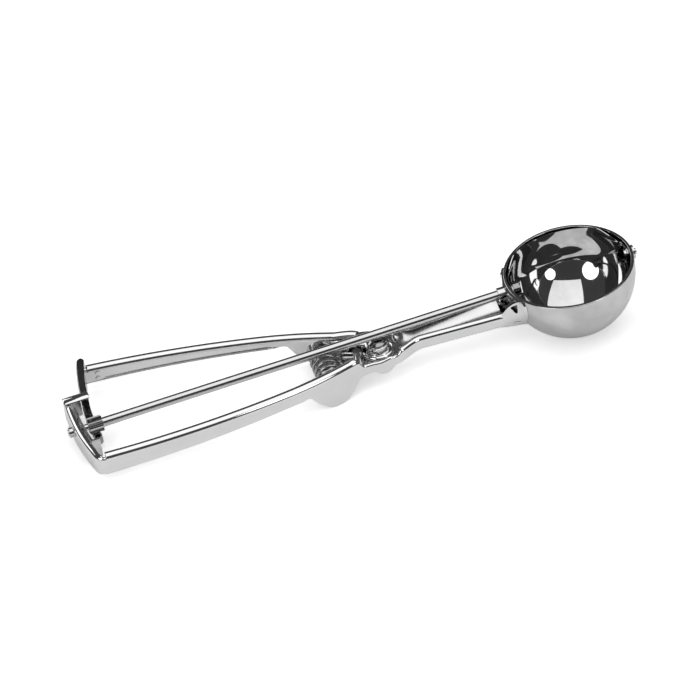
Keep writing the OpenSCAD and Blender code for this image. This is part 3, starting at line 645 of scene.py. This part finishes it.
def build_bowl(material):
    """The cup: a hemisphere with a short straight lip whose edge is rounded."""
    bm = bmesh.new()
    steps = 192
    inner_r = BOWL_R - BOWL_WALL
    lip_r = inner_r - 0.35
    edge, inner_edge = 0.3, 0.2
    # Angles from the pole, which has a small face of its own, to the equator
    angles = [0.02] + [90 * i / 64 for i in range(1, 65)]
    profile = [(BOWL_R * sin(radians(a)), -BOWL_R * cos(radians(a))) for a in angles]
    profile += [(BOWL_R, RIM_RISE / 3)]
    profile += [(BOWL_R - edge + edge * cos(radians(a)), RIM_RISE - edge + edge * sin(radians(a)))
                for a in (0, 30, 60, 80)]
    profile += [(BOWL_R - edge - (BOWL_R - lip_r - edge - inner_edge) * k, RIM_RISE)
                for k in (0, 0.5, 1)]
    profile += [(lip_r + inner_edge - inner_edge * cos(radians(a)),
                 RIM_RISE - inner_edge + inner_edge * sin(radians(a))) for a in (60, 30, 0)]
    profile += [(lip_r, RIM_RISE - 0.5), (inner_r, RIM_RISE - 1.0), (inner_r, RIM_RISE / 3)]
    profile += [(inner_r * sin(radians(a)), -inner_r * cos(radians(a))) for a in angles[::-1]]

    # The lip is narrower by up to this on the far side
    far_inset = 0.3

    def is_lip_edge(r, z):
        return lip_r - 0.01 < r < inner_r + 0.2 and z > RIM_RISE - 0.6

    verts = []
    for i in range(steps):
        a = 2 * pi * i / steps
        inset = far_inset * ramp(sin(a), -0.5, 0.6)
        ring = [(r + inset * is_lip_edge(r, z), z) for r, z in profile]
        verts.append([bm.verts.new((r * cos(a), r * sin(a), z)) for r, z in ring])
    for i in range(steps):
        a, b = verts[i], verts[(i + 1) % steps]
        for j in range(len(profile) - 1):
            bm.faces.new((a[j], a[j + 1], b[j + 1], b[j]))
    bm.faces.new([ring[0] for ring in verts])
    bm.faces.new([ring[-1] for ring in reversed(verts)])
    add_piece("bowl_cup", bm, "handle", material, ("bowl",))


# Bracket's saddle: its outline seen along the rod, as (sideways, up) on one side, its hole for
# the rod, and its outer radius and that of its eased edge
SADDLE_EDGE = [(0, -14.4), (4.6, -14.3), (6.6, -13.7), (9.4, -10.8), (12.1, -7.2), (13.7, -4),
               (14.1, -1.2), (13.9, 1.2), (12.9, 2.5), (11, 2.8), (6, 2.8), (0, 2.8)]
SADDLE_HOLE_R = 2.7
SADDLE_R = BOWL_R + 1.15
SADDLE_EDGE_R = SADDLE_R - 0.3
# Bracket's wings: where they start and are steered through, the heights of their bottom there
# and at the saddle, how far they rise on each side, and their distance from the middle, from
# their bottom to their top
WING_BACK_X, WING_MIDDLE_X = PIVOT_X + SHANK_L - 3, -28.6
WING_BACK_Z, WING_MIDDLE_Z, WING_FRONT_Z = -10.0, -11.6, -13.6
WING_BACK_RISE, WING_FRONT_RISE = 4.6, {-1: 16.2, 1: 8.5}
WING_BACK_W = NECK_W - 0.6
WING_MIDDLE_KEYS = [(0, 8.2), (0.5, 9.6), (1, 8.8)]
WING_FRONT_KEYS = [(0, 6.4), (0.3, 10.3), (0.6, 13.2), (0.8, 13.4), (1, 12.4)]
WING_ROWS, WING_COLUMNS = 36, 48
BRACKET_T = 0.8


def on_cup(r, y, z):
    """Point of a shell around the bowl, round below its middle and straight above."""
    return Vector((-sqrt(r * r - y * y - min(z, 0) ** 2), y, z))


def edge_point(a, outline):
    """Where a ray from the rod's axis, at an angle from +Y, meets a closed outline."""
    way = Vector((cos(a), sin(a)))
    for i, q in enumerate(outline):
        p = outline[i - 1]
        across = q - p
        det = way.x * across.y - way.y * across.x
        if abs(det) < 1e-9:
            continue
        t = (p.x * across.y - p.y * across.x) / det
        k = (p.x * way.y - p.y * way.x) / det
        if t > 0 and -1e-6 <= k <= 1 + 1e-6:
            return way * t
    return way


def build_saddle(bm):
    """Shell round the cup, from the hole for the rod to the saddle's outline."""
    half = [Vector(p) for p in SADDLE_EDGE]
    outline = half + [Vector((-p.x, p.y)) for p in half[-2:0:-1]]
    steps = 96
    rings = []
    for i in range(steps):
        edge = edge_point(2 * pi * i / steps, outline)
        way = edge.normalized()
        reach = [SADDLE_HOLE_R + (edge.length - SADDLE_HOLE_R) * k / 10 for k in range(11)]
        outer = [on_cup(SADDLE_R, way.x * d, way.y * d) for d in reach[:-1]]
        outer.append(on_cup(SADDLE_EDGE_R, way.x * reach[-1], way.y * reach[-1]))
        inner = [on_cup(BOWL_R + 0.05, way.x * d, way.y * d) for d in reach]
        rings.append(outer + inner[::-1])
    sweep(bm, rings, closed=True)


def wing_grid(side):
    """Rows of points of a wing from its bottom up, each from the shank to the saddle."""
    rise = WING_FRONT_RISE[side]
    grid = []
    for i in range(WING_ROWS + 1):
        v = i / WING_ROWS
        front = on_cup(SADDLE_EDGE_R, spline(WING_FRONT_KEYS, v) * side, WING_FRONT_Z + rise * v)
        back = Vector((WING_BACK_X, WING_BACK_W * side, WING_BACK_Z + WING_BACK_RISE * v))
        middle = Vector((WING_MIDDLE_X, spline(WING_MIDDLE_KEYS, v) * side,
                         WING_MIDDLE_Z + (rise - 2.8) * v - 3.2 * v * (1 - v)))
        grid.append([back * (1 - t) ** 2 + middle * (2 * t * (1 - t)) + front * t * t
                     for t in (j / WING_COLUMNS for j in range(WING_COLUMNS + 1))])
    return grid


def in_wing_hole(row, column):
    """Whether a quad of a wing is in its triangular window or in the slot below that."""
    in_window = 25 <= row <= 33 and 49 - 0.75 * row <= column <= 38 - 0.4 * (33 - row)
    return in_window or (row == 10 and 26 <= column <= 41)


def build_bracket(material, painted_shade_material):
    """Saddle between the shank and the bowl: a shell round the cup, two pierced wings, a floor, and behind each
    window a dark sheet of painted shade.
    """
    bm = bmesh.new()
    build_saddle(bm)
    for side in (-1, 1):
        grid = wing_grid(side)
        shell(bm, grid, BRACKET_T * side, in_wing_hole)
        # A dark sheet behind the window: painted shade for the shadow seen through it
        shade_sheet = [[p - Vector((0.5, 1.7 * side, 0.4)) for p in row[18:46]] for row in grid[20:]]
        for face in shell(bm, shade_sheet, 0.3 * side):
            face.material_index = 1
    floor = []
    floor_l, floor_steps = 9.6, 8
    for i in range(floor_steps + 1):
        t = i / floor_steps
        half_w = 8.2 - 1.8 * t
        z = FLOOR_BOTTOM + 0.4 - 3.6 * t * t
        floor.append([Vector((WING_BACK_X + t * floor_l, half_w * k / 6, z))
                      for k in range(-6, 7)])
    shell(bm, floor, BRACKET_T)
    add_piece("neck_saddle", bm, "handle", material, ("neck_bracket",),
              sharp=32, other=painted_shade_material)


def build_blade(material):
    """Half ring that follows the bowl from pole to pole, narrowed to a tab at each end."""
    bm = bmesh.new()
    gap, thick, half_w, tab_r, edge = 0.4, 0.8, 5.5, 3.2, 0.25
    blade_r = BOWL_R - BOWL_WALL - gap
    # The blade narrows to its tabs between these distances from the middle
    wide, narrow = blade_r - 7, blade_r - 1
    # How much wider its upper half is
    upper_extra = 0.38
    tab_a = math.asin(tab_r / blade_r)
    rest_turn = Matrix.Rotation(-math.asin(half_w / blade_r), 3, "X")
    steps, half_points = 120, 8
    rings = []
    for i in range(steps + 1):
        a = -tab_a + (pi + 2 * tab_a) * i / steps
        k = ramp(abs(blade_r * cos(a)), wide, narrow) if 0 < a < pi else 1
        # The tabs' ends are round over five steps
        w = (half_w + (tab_r - half_w) * k) * bullet(min(i, steps - i) / 5, -0.12, 1.12)
        lat = math.asin(w / blade_r)
        rise = 1 + upper_extra * (1 - k)
        ring = []
        for r, way in ((blade_r, 1), (blade_r - thick, -1)):
            for j in range(half_points + 1):
                s = (-1 + 2 * j / half_points) * way
                phi = lat * s * (rise if s > 0 else 1)
                eased = r - way * edge * (abs(s) == 1)
                ring.append(rest_turn @ Vector((eased * cos(phi) * cos(a),
                                                eased * cos(phi) * sin(a), eased * sin(phi))))
        rings.append(ring)
    sweep(bm, rings)
    add_piece("scraper_strip", bm, "rod", material, ("scraper_blade",))


# ---- Rack and spring ----

# Rack's tongue inside the lever's end: how far back its front is, its thickness, the side of it
# that is nearer the rod, and its heights
TONGUE_FRONT = LEG_END - 9
TONGUE_T = 1.4
TONGUE_Y = LEG_END_W - SHEET - TONGUE_T - 0.5
TONGUE_Z0, TONGUE_Z1 = bottom_z(LEG_END) + SHEET + 0.5, top_z(TONGUE_FRONT) - SHEET - 0.3

# Rack's angles from the rod's axis in degrees: its free end on the near side, where its teeth
# end, which is past the lever's travel, and its end in the lever
RACK_FREE_A, RACK_STEP_A, RACK_OUTER_A = 2.84, 3.7 + 4.4, 19.4


def rack_heights(top):
    """The rack's upper side as (angle, height) keys: its teeth, then a step to its top."""
    tip_z, root_z = -PINION_R + TOOTH_MODULE * 0.85, -PINION_R - TOOTH_MODULE * 1.1
    pitch_a = math.degrees(pi * TOOTH_MODULE / RACK_R)
    half_gap = TOOTH_MODULE * pi / 4 + 0.06
    root_w = half_gap - (-PINION_R - root_z) * tan(PRESSURE_ANGLE)
    tip_w = half_gap + (tip_z + PINION_R) * tan(PRESSURE_ANGLE)
    heights = [(-RACK_FREE_A, tip_z)]
    room = 0.6
    for i in range(-5, math.ceil(RACK_STEP_A / pitch_a)):
        a = i * pitch_a
        if a - room > -RACK_FREE_A and a + room < RACK_STEP_A:
            for off, z in ((-tip_w, tip_z), (-root_w, root_z), (root_w, root_z), (tip_w, tip_z)):
                heights.append((a + math.degrees(off / RACK_R), z))
    for past, z in ((0, tip_z), (0.02, top - 1.2), (0.1, top - 0.6), (0.3, top - 0.15)):
        heights.append((RACK_STEP_A + past, z))
    steps, top_a = 24, RACK_STEP_A + 0.6
    return heights + [(top_a + (RACK_OUTER_A - top_a) * k / steps, top) for k in range(steps + 1)]


def build_rack(material, tongue_material):
    """Thick curved bar with round ends, lower where it has teeth, on a tongue in the lever."""
    bm = bmesh.new()
    top = top_z(WALL_R - SHEET) - 0.1
    bottom = top_z(WALL_R - SHEET) - WEB_REAR
    heights = rack_heights(top)
    half, least_half, most_ease = RACK_T / 2, 0.12, 0.45
    end_a = math.degrees(half / RACK_R)
    # More places where the ends are round
    places = []
    for (a0, z0), (a1, z1) in zip(heights, heights[1:]):
        places.append((a0, z0))
        if a0 < -RACK_FREE_A + end_a or a1 > RACK_OUTER_A - end_a:
            places += [(a0 + (a1 - a0) * k / 5, z0 + (z1 - z0) * k / 5) for k in range(1, 5)]
    places.append(heights[-1])
    rings = []
    for a, z in places:
        near_end = min((a + RACK_FREE_A) / end_a, (RACK_OUTER_A - a) / end_a)
        w = max(half * bullet(near_end, 0, 1), least_half)
        ease = min(most_ease, w * 0.5)
        c, s = -cos(radians(a)), sin(radians(a))
        section = [(-w, bottom + 0.2), (-w, z - ease), (-w + ease * 0.3, z - ease * 0.3),
                   (-w + ease, z), (w - ease, z), (w - ease * 0.3, z - ease * 0.3),
                   (w, z - ease), (w, bottom + 0.2), (w - 0.2 * w, bottom), (-w + 0.2 * w, bottom)]
        rings.append([fixed_far((RACK_R + dr) * c, (RACK_R + dr) * s, dz) for dr, dz in section])
    sweep(bm, rings)

    section = rounded_rect(TONGUE_T, TONGUE_Z1 - TONGUE_Z0, 0.3, steps=1)
    mid_y, mid_z = TONGUE_Y + TONGUE_T / 2, (TONGUE_Z0 + TONGUE_Z1) / 2
    rings = []
    for x, k in ((-sqrt(RACK_R ** 2 - TONGUE_Y * TONGUE_Y), 1), (-TONGUE_FRONT - 1.2, 1),
                 (-TONGUE_FRONT - 0.3, 0.9), (-TONGUE_FRONT, 0.7)):
        rings.append([on_lever(x, mid_y + p.x, mid_z + p.y * k) for p in section])
    sweep(bm, rings)
    add_piece("rack_bar", bm, "lever", material, ("rack",), sharp=20,
              other=tongue_material, is_other=is_tongue)


def build_rack_rivets(material):
    """Two rivets with low domed heads, through the lever's leg and the rack's tongue."""
    bm = bmesh.new()
    back, head_r, head_h, pin_r, sides = LEG_END - 6, 1.2, 0.42, 0.75, 32
    profile = [(head_r * sin(radians(a)), -0.03 - head_h * cos(radians(a)))
               for a in range(10, 91, 16)]
    profile += [(head_r, -0.02), (pin_r, -0.02), (pin_r, LEG_END_W - TONGUE_Y + 0.25)]
    turns = [2 * pi * j / sides for j in range(sides)]
    for share in (0.25, 0.75):
        z = TONGUE_Z0 + (TONGUE_Z1 - TONGUE_Z0) * share
        sweep(bm, [[on_lever(-back + r * cos(b), TONGUE_Y + h, z + r * sin(b)) for b in turns]
                   for r, h in profile])
    add_piece("rack_rivet_pair", bm, "lever", material, ("rack_rivets",), sharp=50)


def build_spring(material):
    """Compression coil of round wire, thinned at its two ends."""
    bm = bmesh.new()
    seat_w = LEG_START_W - SHEET - 0.2
    y0 = -seat_w + WIRE_R
    y1 = seat_w * cos(LEVER_OPEN) + SPRING_BACK * sin(LEVER_OPEN) - 2 * WIRE_R
    # The open lever's seat is this far in front of the fixed one
    lean = SPRING_BACK * (1 - cos(LEVER_OPEN)) + seat_w * sin(LEVER_OPEN)
    steps, sides = TURNS * 48, 14
    rings = []
    for i in range(steps + 1):
        share = i / steps
        a = 2 * pi * TURNS * share
        centre = Vector((PIVOT_X - SPRING_BACK + lean * share + SPRING_R * cos(a),
                         y0 + (y1 - y0) * share, SPRING_Z + SPRING_R * sin(a)))
        out = Vector((cos(a), 0, sin(a)))
        k = min(1, 0.55 + 0.45 * min(i, steps - i) / 2)
        rings.append([centre + (out * cos(b) + Vector((0, 1, 0)) * sin(b)) * WIRE_R * k
                      for b in (2 * pi * j / sides for j in range(sides))])
    sweep(bm, rings)
    spring = add_piece("spring_coil", bm, "handle", material, ("return_spring",))
    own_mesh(spring)


# ---- Materials ----

# Grey and roughness, each with its spread, then the height, grain and fineness of the scratches,
# and how much the darker clouds are tarnished
STEELS = {
    "polished_bowl": {"base": 0.6, "spread": 0.045, "rough": 0.045, "rough_spread": 0.02,
                      "scratch": 0.006, "tarnish": 0.05},
    "polished_steel": {"base": 0.72, "spread": 0.015, "rough": 0.06, "rough_spread": 0.02,
                       "scratch": 0.012, "grain": (0.2, 1, 1)},
    "web_steel": {"base": 0.72, "spread": 0.015, "rough": 0.22, "rough_spread": 0.04,
                  "scratch": 0.012, "grain": (0.2, 1, 1)},
    # The rod's steel: polished steel with a darker base as painted shade for the rod's dark underside, and a
    # little rougher
    "shaded_rod_steel": {"base": 0.6, "spread": 0.015, "rough": 0.1, "rough_spread": 0.03,
                  "scratch": 0.012, "grain": (0.2, 1, 1)},
    # Painted shade: near-black steel, only for the sheets behind the bracket's windows
    "dark_steel": {"base": 0.1, "spread": 0.02, "rough": 0.3, "rough_spread": 0.05,
                   "scratch": 0.05},
    "satin_steel": {"base": 0.62, "spread": 0.03, "rough": 0.16, "rough_spread": 0.05,
                    "scratch": 0.05, "scale": 1400},
    "rack_steel": {"base": 0.34, "spread": 0.03, "rough": 0.12, "rough_spread": 0.04,
                   "scratch": 0.06, "grain": (1, 1, 0.3), "scale": 1200, "tarnish": 0.03},
    "spring_wire": {"base": 0.4, "spread": 0.02, "rough": 0.2, "rough_spread": 0.04,
                    "scratch": 0.04, "grain": (1, 0.4, 1), "scale": 1500},
}
# CAD pieces that are in another steel than their slot's. The rod's is its slot's polished steel painted darker, as
# painted shade for its dark underside.
OWN_STEEL = {"drive_rod": "shaded_rod_steel", "pivot_rivet": "rack_steel", "scraper_hub": "rack_steel",
             "rack_guide": "web_steel"}
# CAD pieces whose edges are eased, and by how many millimetres
EASED = {
    "rack_guide": 0.35, "front_rod_bush": 0.3, "trunnion_bush": 0.2,
    "pivot_washers": 0.1, "stop_pin": 0.35, "fixed_spring_seat": 0.2, "lever_spring_seat": 0.2,
    "drive_rod": 0.25, "rod_end_cap": 0.25, "scraper_hub": 0.25, "scraper_trunnion": 0.2,
}


def make_steel(name, base, spread, rough, rough_spread, scratch, grain=(1, 1, 1), scale=900,
               tarnish=0.0):
    """Steel whose colour and roughness vary a little, with fine scratches as a bump."""
    mat = bpy.data.materials.new(name)
    mat.use_nodes = True
    tree = mat.node_tree
    bsdf = tree.nodes["Principled BSDF"]
    bsdf.inputs["Metallic"].default_value = 1.0
    bsdf.inputs["IOR"].default_value = 2.2
    coords = tree.nodes.new("ShaderNodeTexCoord")

    def noise(size, detail, stretch=(1, 1, 1)):
        mapping = tree.nodes.new("ShaderNodeMapping")
        mapping.inputs["Scale"].default_value = stretch
        tree.links.new(coords.outputs["Object"], mapping.inputs["Vector"])
        node = tree.nodes.new("ShaderNodeTexNoise")
        node.inputs["Scale"].default_value = size
        node.inputs["Detail"].default_value = detail
        tree.links.new(mapping.outputs["Vector"], node.inputs["Vector"])
        return node

    def ramp_node(source, low, high, lo_at=0.35, hi_at=0.65):
        node = tree.nodes.new("ShaderNodeValToRGB")
        for element, at, value in zip(node.color_ramp.elements, (lo_at, hi_at), (low, high)):
            element.position = at
            element.color = (value, value, value, 1)
        tree.links.new(source.outputs["Fac"], node.inputs["Fac"])
        return node

    clouds = noise(90, 4)
    colour = ramp_node(clouds, base - spread - tarnish, base + spread)
    tree.links.new(colour.outputs["Color"], bsdf.inputs["Base Color"])
    smears = noise(220, 6, grain)
    least = max(rough - rough_spread, 0.01)
    dull = ramp_node(smears, least, rough + rough_spread, lo_at=0.3, hi_at=0.75)
    tree.links.new(dull.outputs["Color"], bsdf.inputs["Roughness"])
    scratches = noise(scale, 3, grain)
    bump = tree.nodes.new("ShaderNodeBump")
    bump.inputs["Strength"].default_value = scratch
    bump.inputs["Distance"].default_value = 0.0001
    tree.links.new(scratches.outputs["Fac"], bump.inputs["Height"])
    tree.links.new(bump.outputs["Normal"], bsdf.inputs["Normal"])
    return mat


def ease_edges(node, width):
    """Smooths a carried-over CAD piece and eases its edges with modifiers only."""
    obj = frame["nodes"][node]
    flat = obj.modifiers.new("flat_faces", "DECIMATE")
    flat.decimate_type = "DISSOLVE"
    flat.angle_limit = radians(1)
    bevel = obj.modifiers.new("eased_edges", "BEVEL")
    bevel.width = width * MM
    bevel.segments = 3
    bevel.limit_method = "ANGLE"
    bevel.angle_limit = radians(40)
    bevel.harden_normals = False
    even = obj.modifiers.new("even_shading", "WEIGHTED_NORMAL")
    even.keep_sharp = True


# ---- Camera, floor and lights ----

CAMERA_AZIMUTH = radians(11.017)
CAMERA_ELEVATION = radians(38.30)
CAMERA_ROLL = radians(10.956)
# Focal length in pixels. The camera is as far off as it takes for the scale below.
CAMERA_LENS = 20000
# Pixels to the millimetre at the origin, which shows at this pixel of a frame of 700 by 700
PIXELS_PER_MM = 2.4575
FRAME_PIXELS = 700
ORIGIN_PIXEL = (569.5, 272.0)

# Sizes and distances in metres, and strengths where 1 is white
FLOOR_SIZE = 1.6
FLOOR_TILT = radians(4.8)
FLOOR_COLOUR = 0.92
FLOOR_GLOW = 0.42
FILL = 0.4
ROOM = 0.07
LIGHT_DISTANCE = 1.2
OVERHEAD_HEIGHT = 0.8


def make_camera():
    """A long lens that looks down from the near side, so that the origin shows at its pixel."""
    data = bpy.data.cameras.new("camera")
    cam = bpy.data.objects.new("camera", data)
    bpy.context.scene.collection.objects.link(cam)
    data.lens = CAMERA_LENS / FRAME_PIXELS * data.sensor_width
    data.clip_start, data.clip_end = 0.5, 40
    ca, sa = cos(CAMERA_AZIMUTH), sin(CAMERA_AZIMUTH)
    ce, se = cos(CAMERA_ELEVATION), sin(CAMERA_ELEVATION)
    forward = Vector((sa * ce, ca * ce, -se))
    roll = Matrix.Rotation(CAMERA_ROLL, 3, forward)
    right = roll @ forward.cross(Vector((0, 0, 1))).normalized()
    up = right.cross(forward)
    across = (ORIGIN_PIXEL[0] - FRAME_PIXELS / 2) / PIXELS_PER_MM
    rise = (FRAME_PIXELS / 2 - ORIGIN_PIXEL[1]) / PIXELS_PER_MM
    place = (forward * (-CAMERA_LENS / PIXELS_PER_MM) - right * across - up * rise) * MM
    cam.matrix_world = Matrix((
        (right.x, up.x, -forward.x, place.x),
        (right.y, up.y, -forward.y, place.y),
        (right.z, up.z, -forward.z, place.z),
        (0, 0, 0, 1),
    ))
    bpy.context.scene.camera = cam


def direction(elevation, azimuth):
    """Unit vector at an elevation and at an azimuth from +Y towards +X, in degrees."""
    e, a = radians(elevation), radians(azimuth)
    return Vector((cos(e) * sin(a), cos(e) * cos(a), sin(e)))


def area_light(name, place, radiance, size, size_y=None, turn=None):
    """A disk, or a rectangle if it has two sizes, that faces the origin or, with a turn, down."""
    data = bpy.data.lights.new(name, "AREA")
    data.shape = "RECTANGLE" if size_y else "DISK"
    data.size = size
    area = pi * size * size / 4
    if size_y:
        data.size_y = size_y
        area = size * size_y
    data.energy = radiance * pi * area
    light = bpy.data.objects.new(name, data)
    bpy.context.scene.collection.objects.link(light)
    if turn is None:
        facing = place.to_track_quat("Z", "Y").to_matrix()
    else:
        facing = Matrix.Rotation(turn, 3, "Z")
    light.matrix_world = Matrix.Translation(place) @ facing.to_4x4()
    light.visible_camera = False


def make_world():
    """White where the camera looks past the floor, a dim room in the metal, a fill elsewhere."""
    world = bpy.data.worlds.new("studio")
    bpy.context.scene.world = world
    world.use_nodes = True
    tree = world.node_tree
    tree.nodes.clear()
    path = tree.nodes.new("ShaderNodeLightPath")

    def background(strength):
        node = tree.nodes.new("ShaderNodeBackground")
        node.inputs["Color"].default_value = (1, 1, 1, 1)
        node.inputs["Strength"].default_value = strength
        return node

    def choose(ray, other, chosen):
        node = tree.nodes.new("ShaderNodeMixShader")
        tree.links.new(path.outputs[ray], node.inputs[0])
        tree.links.new(other.outputs[0], node.inputs[1])
        tree.links.new(chosen.outputs[0], node.inputs[2])
        return node

    room = choose("Is Glossy Ray", background(FILL), background(ROOM))
    shown = choose("Is Camera Ray", room, background(1.0))
    out = tree.nodes.new("ShaderNodeOutputWorld")
    tree.links.new(shown.outputs[0], out.inputs[0])


def make_floor():
    """A plain pale floor under the scoop, which rests on the bowl and on the pivot's lobes."""
    mesh = bpy.data.meshes.new("floor")
    s = FLOOR_SIZE / 2
    mesh.from_pydata([(-s, -s, 0), (s, -s, 0), (s, s, 0), (-s, s, 0)], [], [(0, 1, 2, 3)])
    floor = bpy.data.objects.new("floor", mesh)
    bpy.context.scene.collection.objects.link(floor)
    tilt = Matrix.Rotation(FLOOR_TILT, 4, "Y")
    floor.matrix_world = tilt @ Matrix.Translation((0, 0, -BOWL_R * MM))
    mat = bpy.data.materials.new("floor")
    mat.use_nodes = True
    tree = mat.node_tree
    tree.nodes.clear()
    diffuse = tree.nodes.new("ShaderNodeBsdfDiffuse")
    diffuse.inputs["Color"].default_value = (FLOOR_COLOUR,) * 3 + (1,)
    glow = tree.nodes.new("ShaderNodeEmission")
    path = tree.nodes.new("ShaderNodeLightPath")
    strength = tree.nodes.new("ShaderNodeMath")
    strength.operation = "MULTIPLY"
    strength.inputs[1].default_value = FLOOR_GLOW
    tree.links.new(path.outputs["Is Camera Ray"], strength.inputs[0])
    tree.links.new(strength.outputs[0], glow.inputs["Strength"])
    add = tree.nodes.new("ShaderNodeAddShader")
    out = tree.nodes.new("ShaderNodeOutputMaterial")
    tree.links.new(diffuse.outputs[0], add.inputs[0])
    tree.links.new(glow.outputs[0], add.inputs[1])
    tree.links.new(add.outputs[0], out.inputs[0])
    mesh.materials.append(mat)


def make_stage():
    """World, floor and lights: a level panel overhead, a strip behind and two round lamps."""
    make_world()
    make_floor()
    height = OVERHEAD_HEIGHT
    area_light("overhead", Vector((0.275, -0.2, 1.0)) * height, radiance=1.3, size=1.2 * height,
               size_y=1.3 * height, turn=radians(-20.6))
    far = LIGHT_DISTANCE
    area_light("rear_strip", direction(30, -28) * far, radiance=1.6, size=0.78, size_y=0.4)
    area_light("left_round", direction(32, -120) * far, radiance=3.0, size=0.68)
    area_light("right_round", direction(28, 150) * far, radiance=3.0, size=0.42)


# ---- The scoop ----

steels = {name: make_steel(name, **look) for name, look in STEELS.items()}
slots = {part["node"]: part["material_slot"] for part in frame["record"]["subparts"]}
for node_name, cad_object in frame["nodes"].items():
    cad_object.data.materials.clear()
    cad_object.data.materials.append(steels[OWN_STEEL.get(node_name, slots[node_name])])

build_frame(steels["polished_steel"], steels["web_steel"])
build_lever(steels["polished_steel"], steels["web_steel"])
build_bowl(steels["polished_bowl"])
build_bracket(steels["polished_steel"], steels["dark_steel"])
build_blade(steels["polished_bowl"])
build_rack(steels["rack_steel"], steels["web_steel"])
build_rack_rivets(steels["web_steel"])
build_spring(steels["spring_wire"])
for node_name, width in EASED.items():
    ease_edges(node_name, width)

make_camera()
make_stage()
bpy.context.scene.view_settings.view_transform = "Standard"
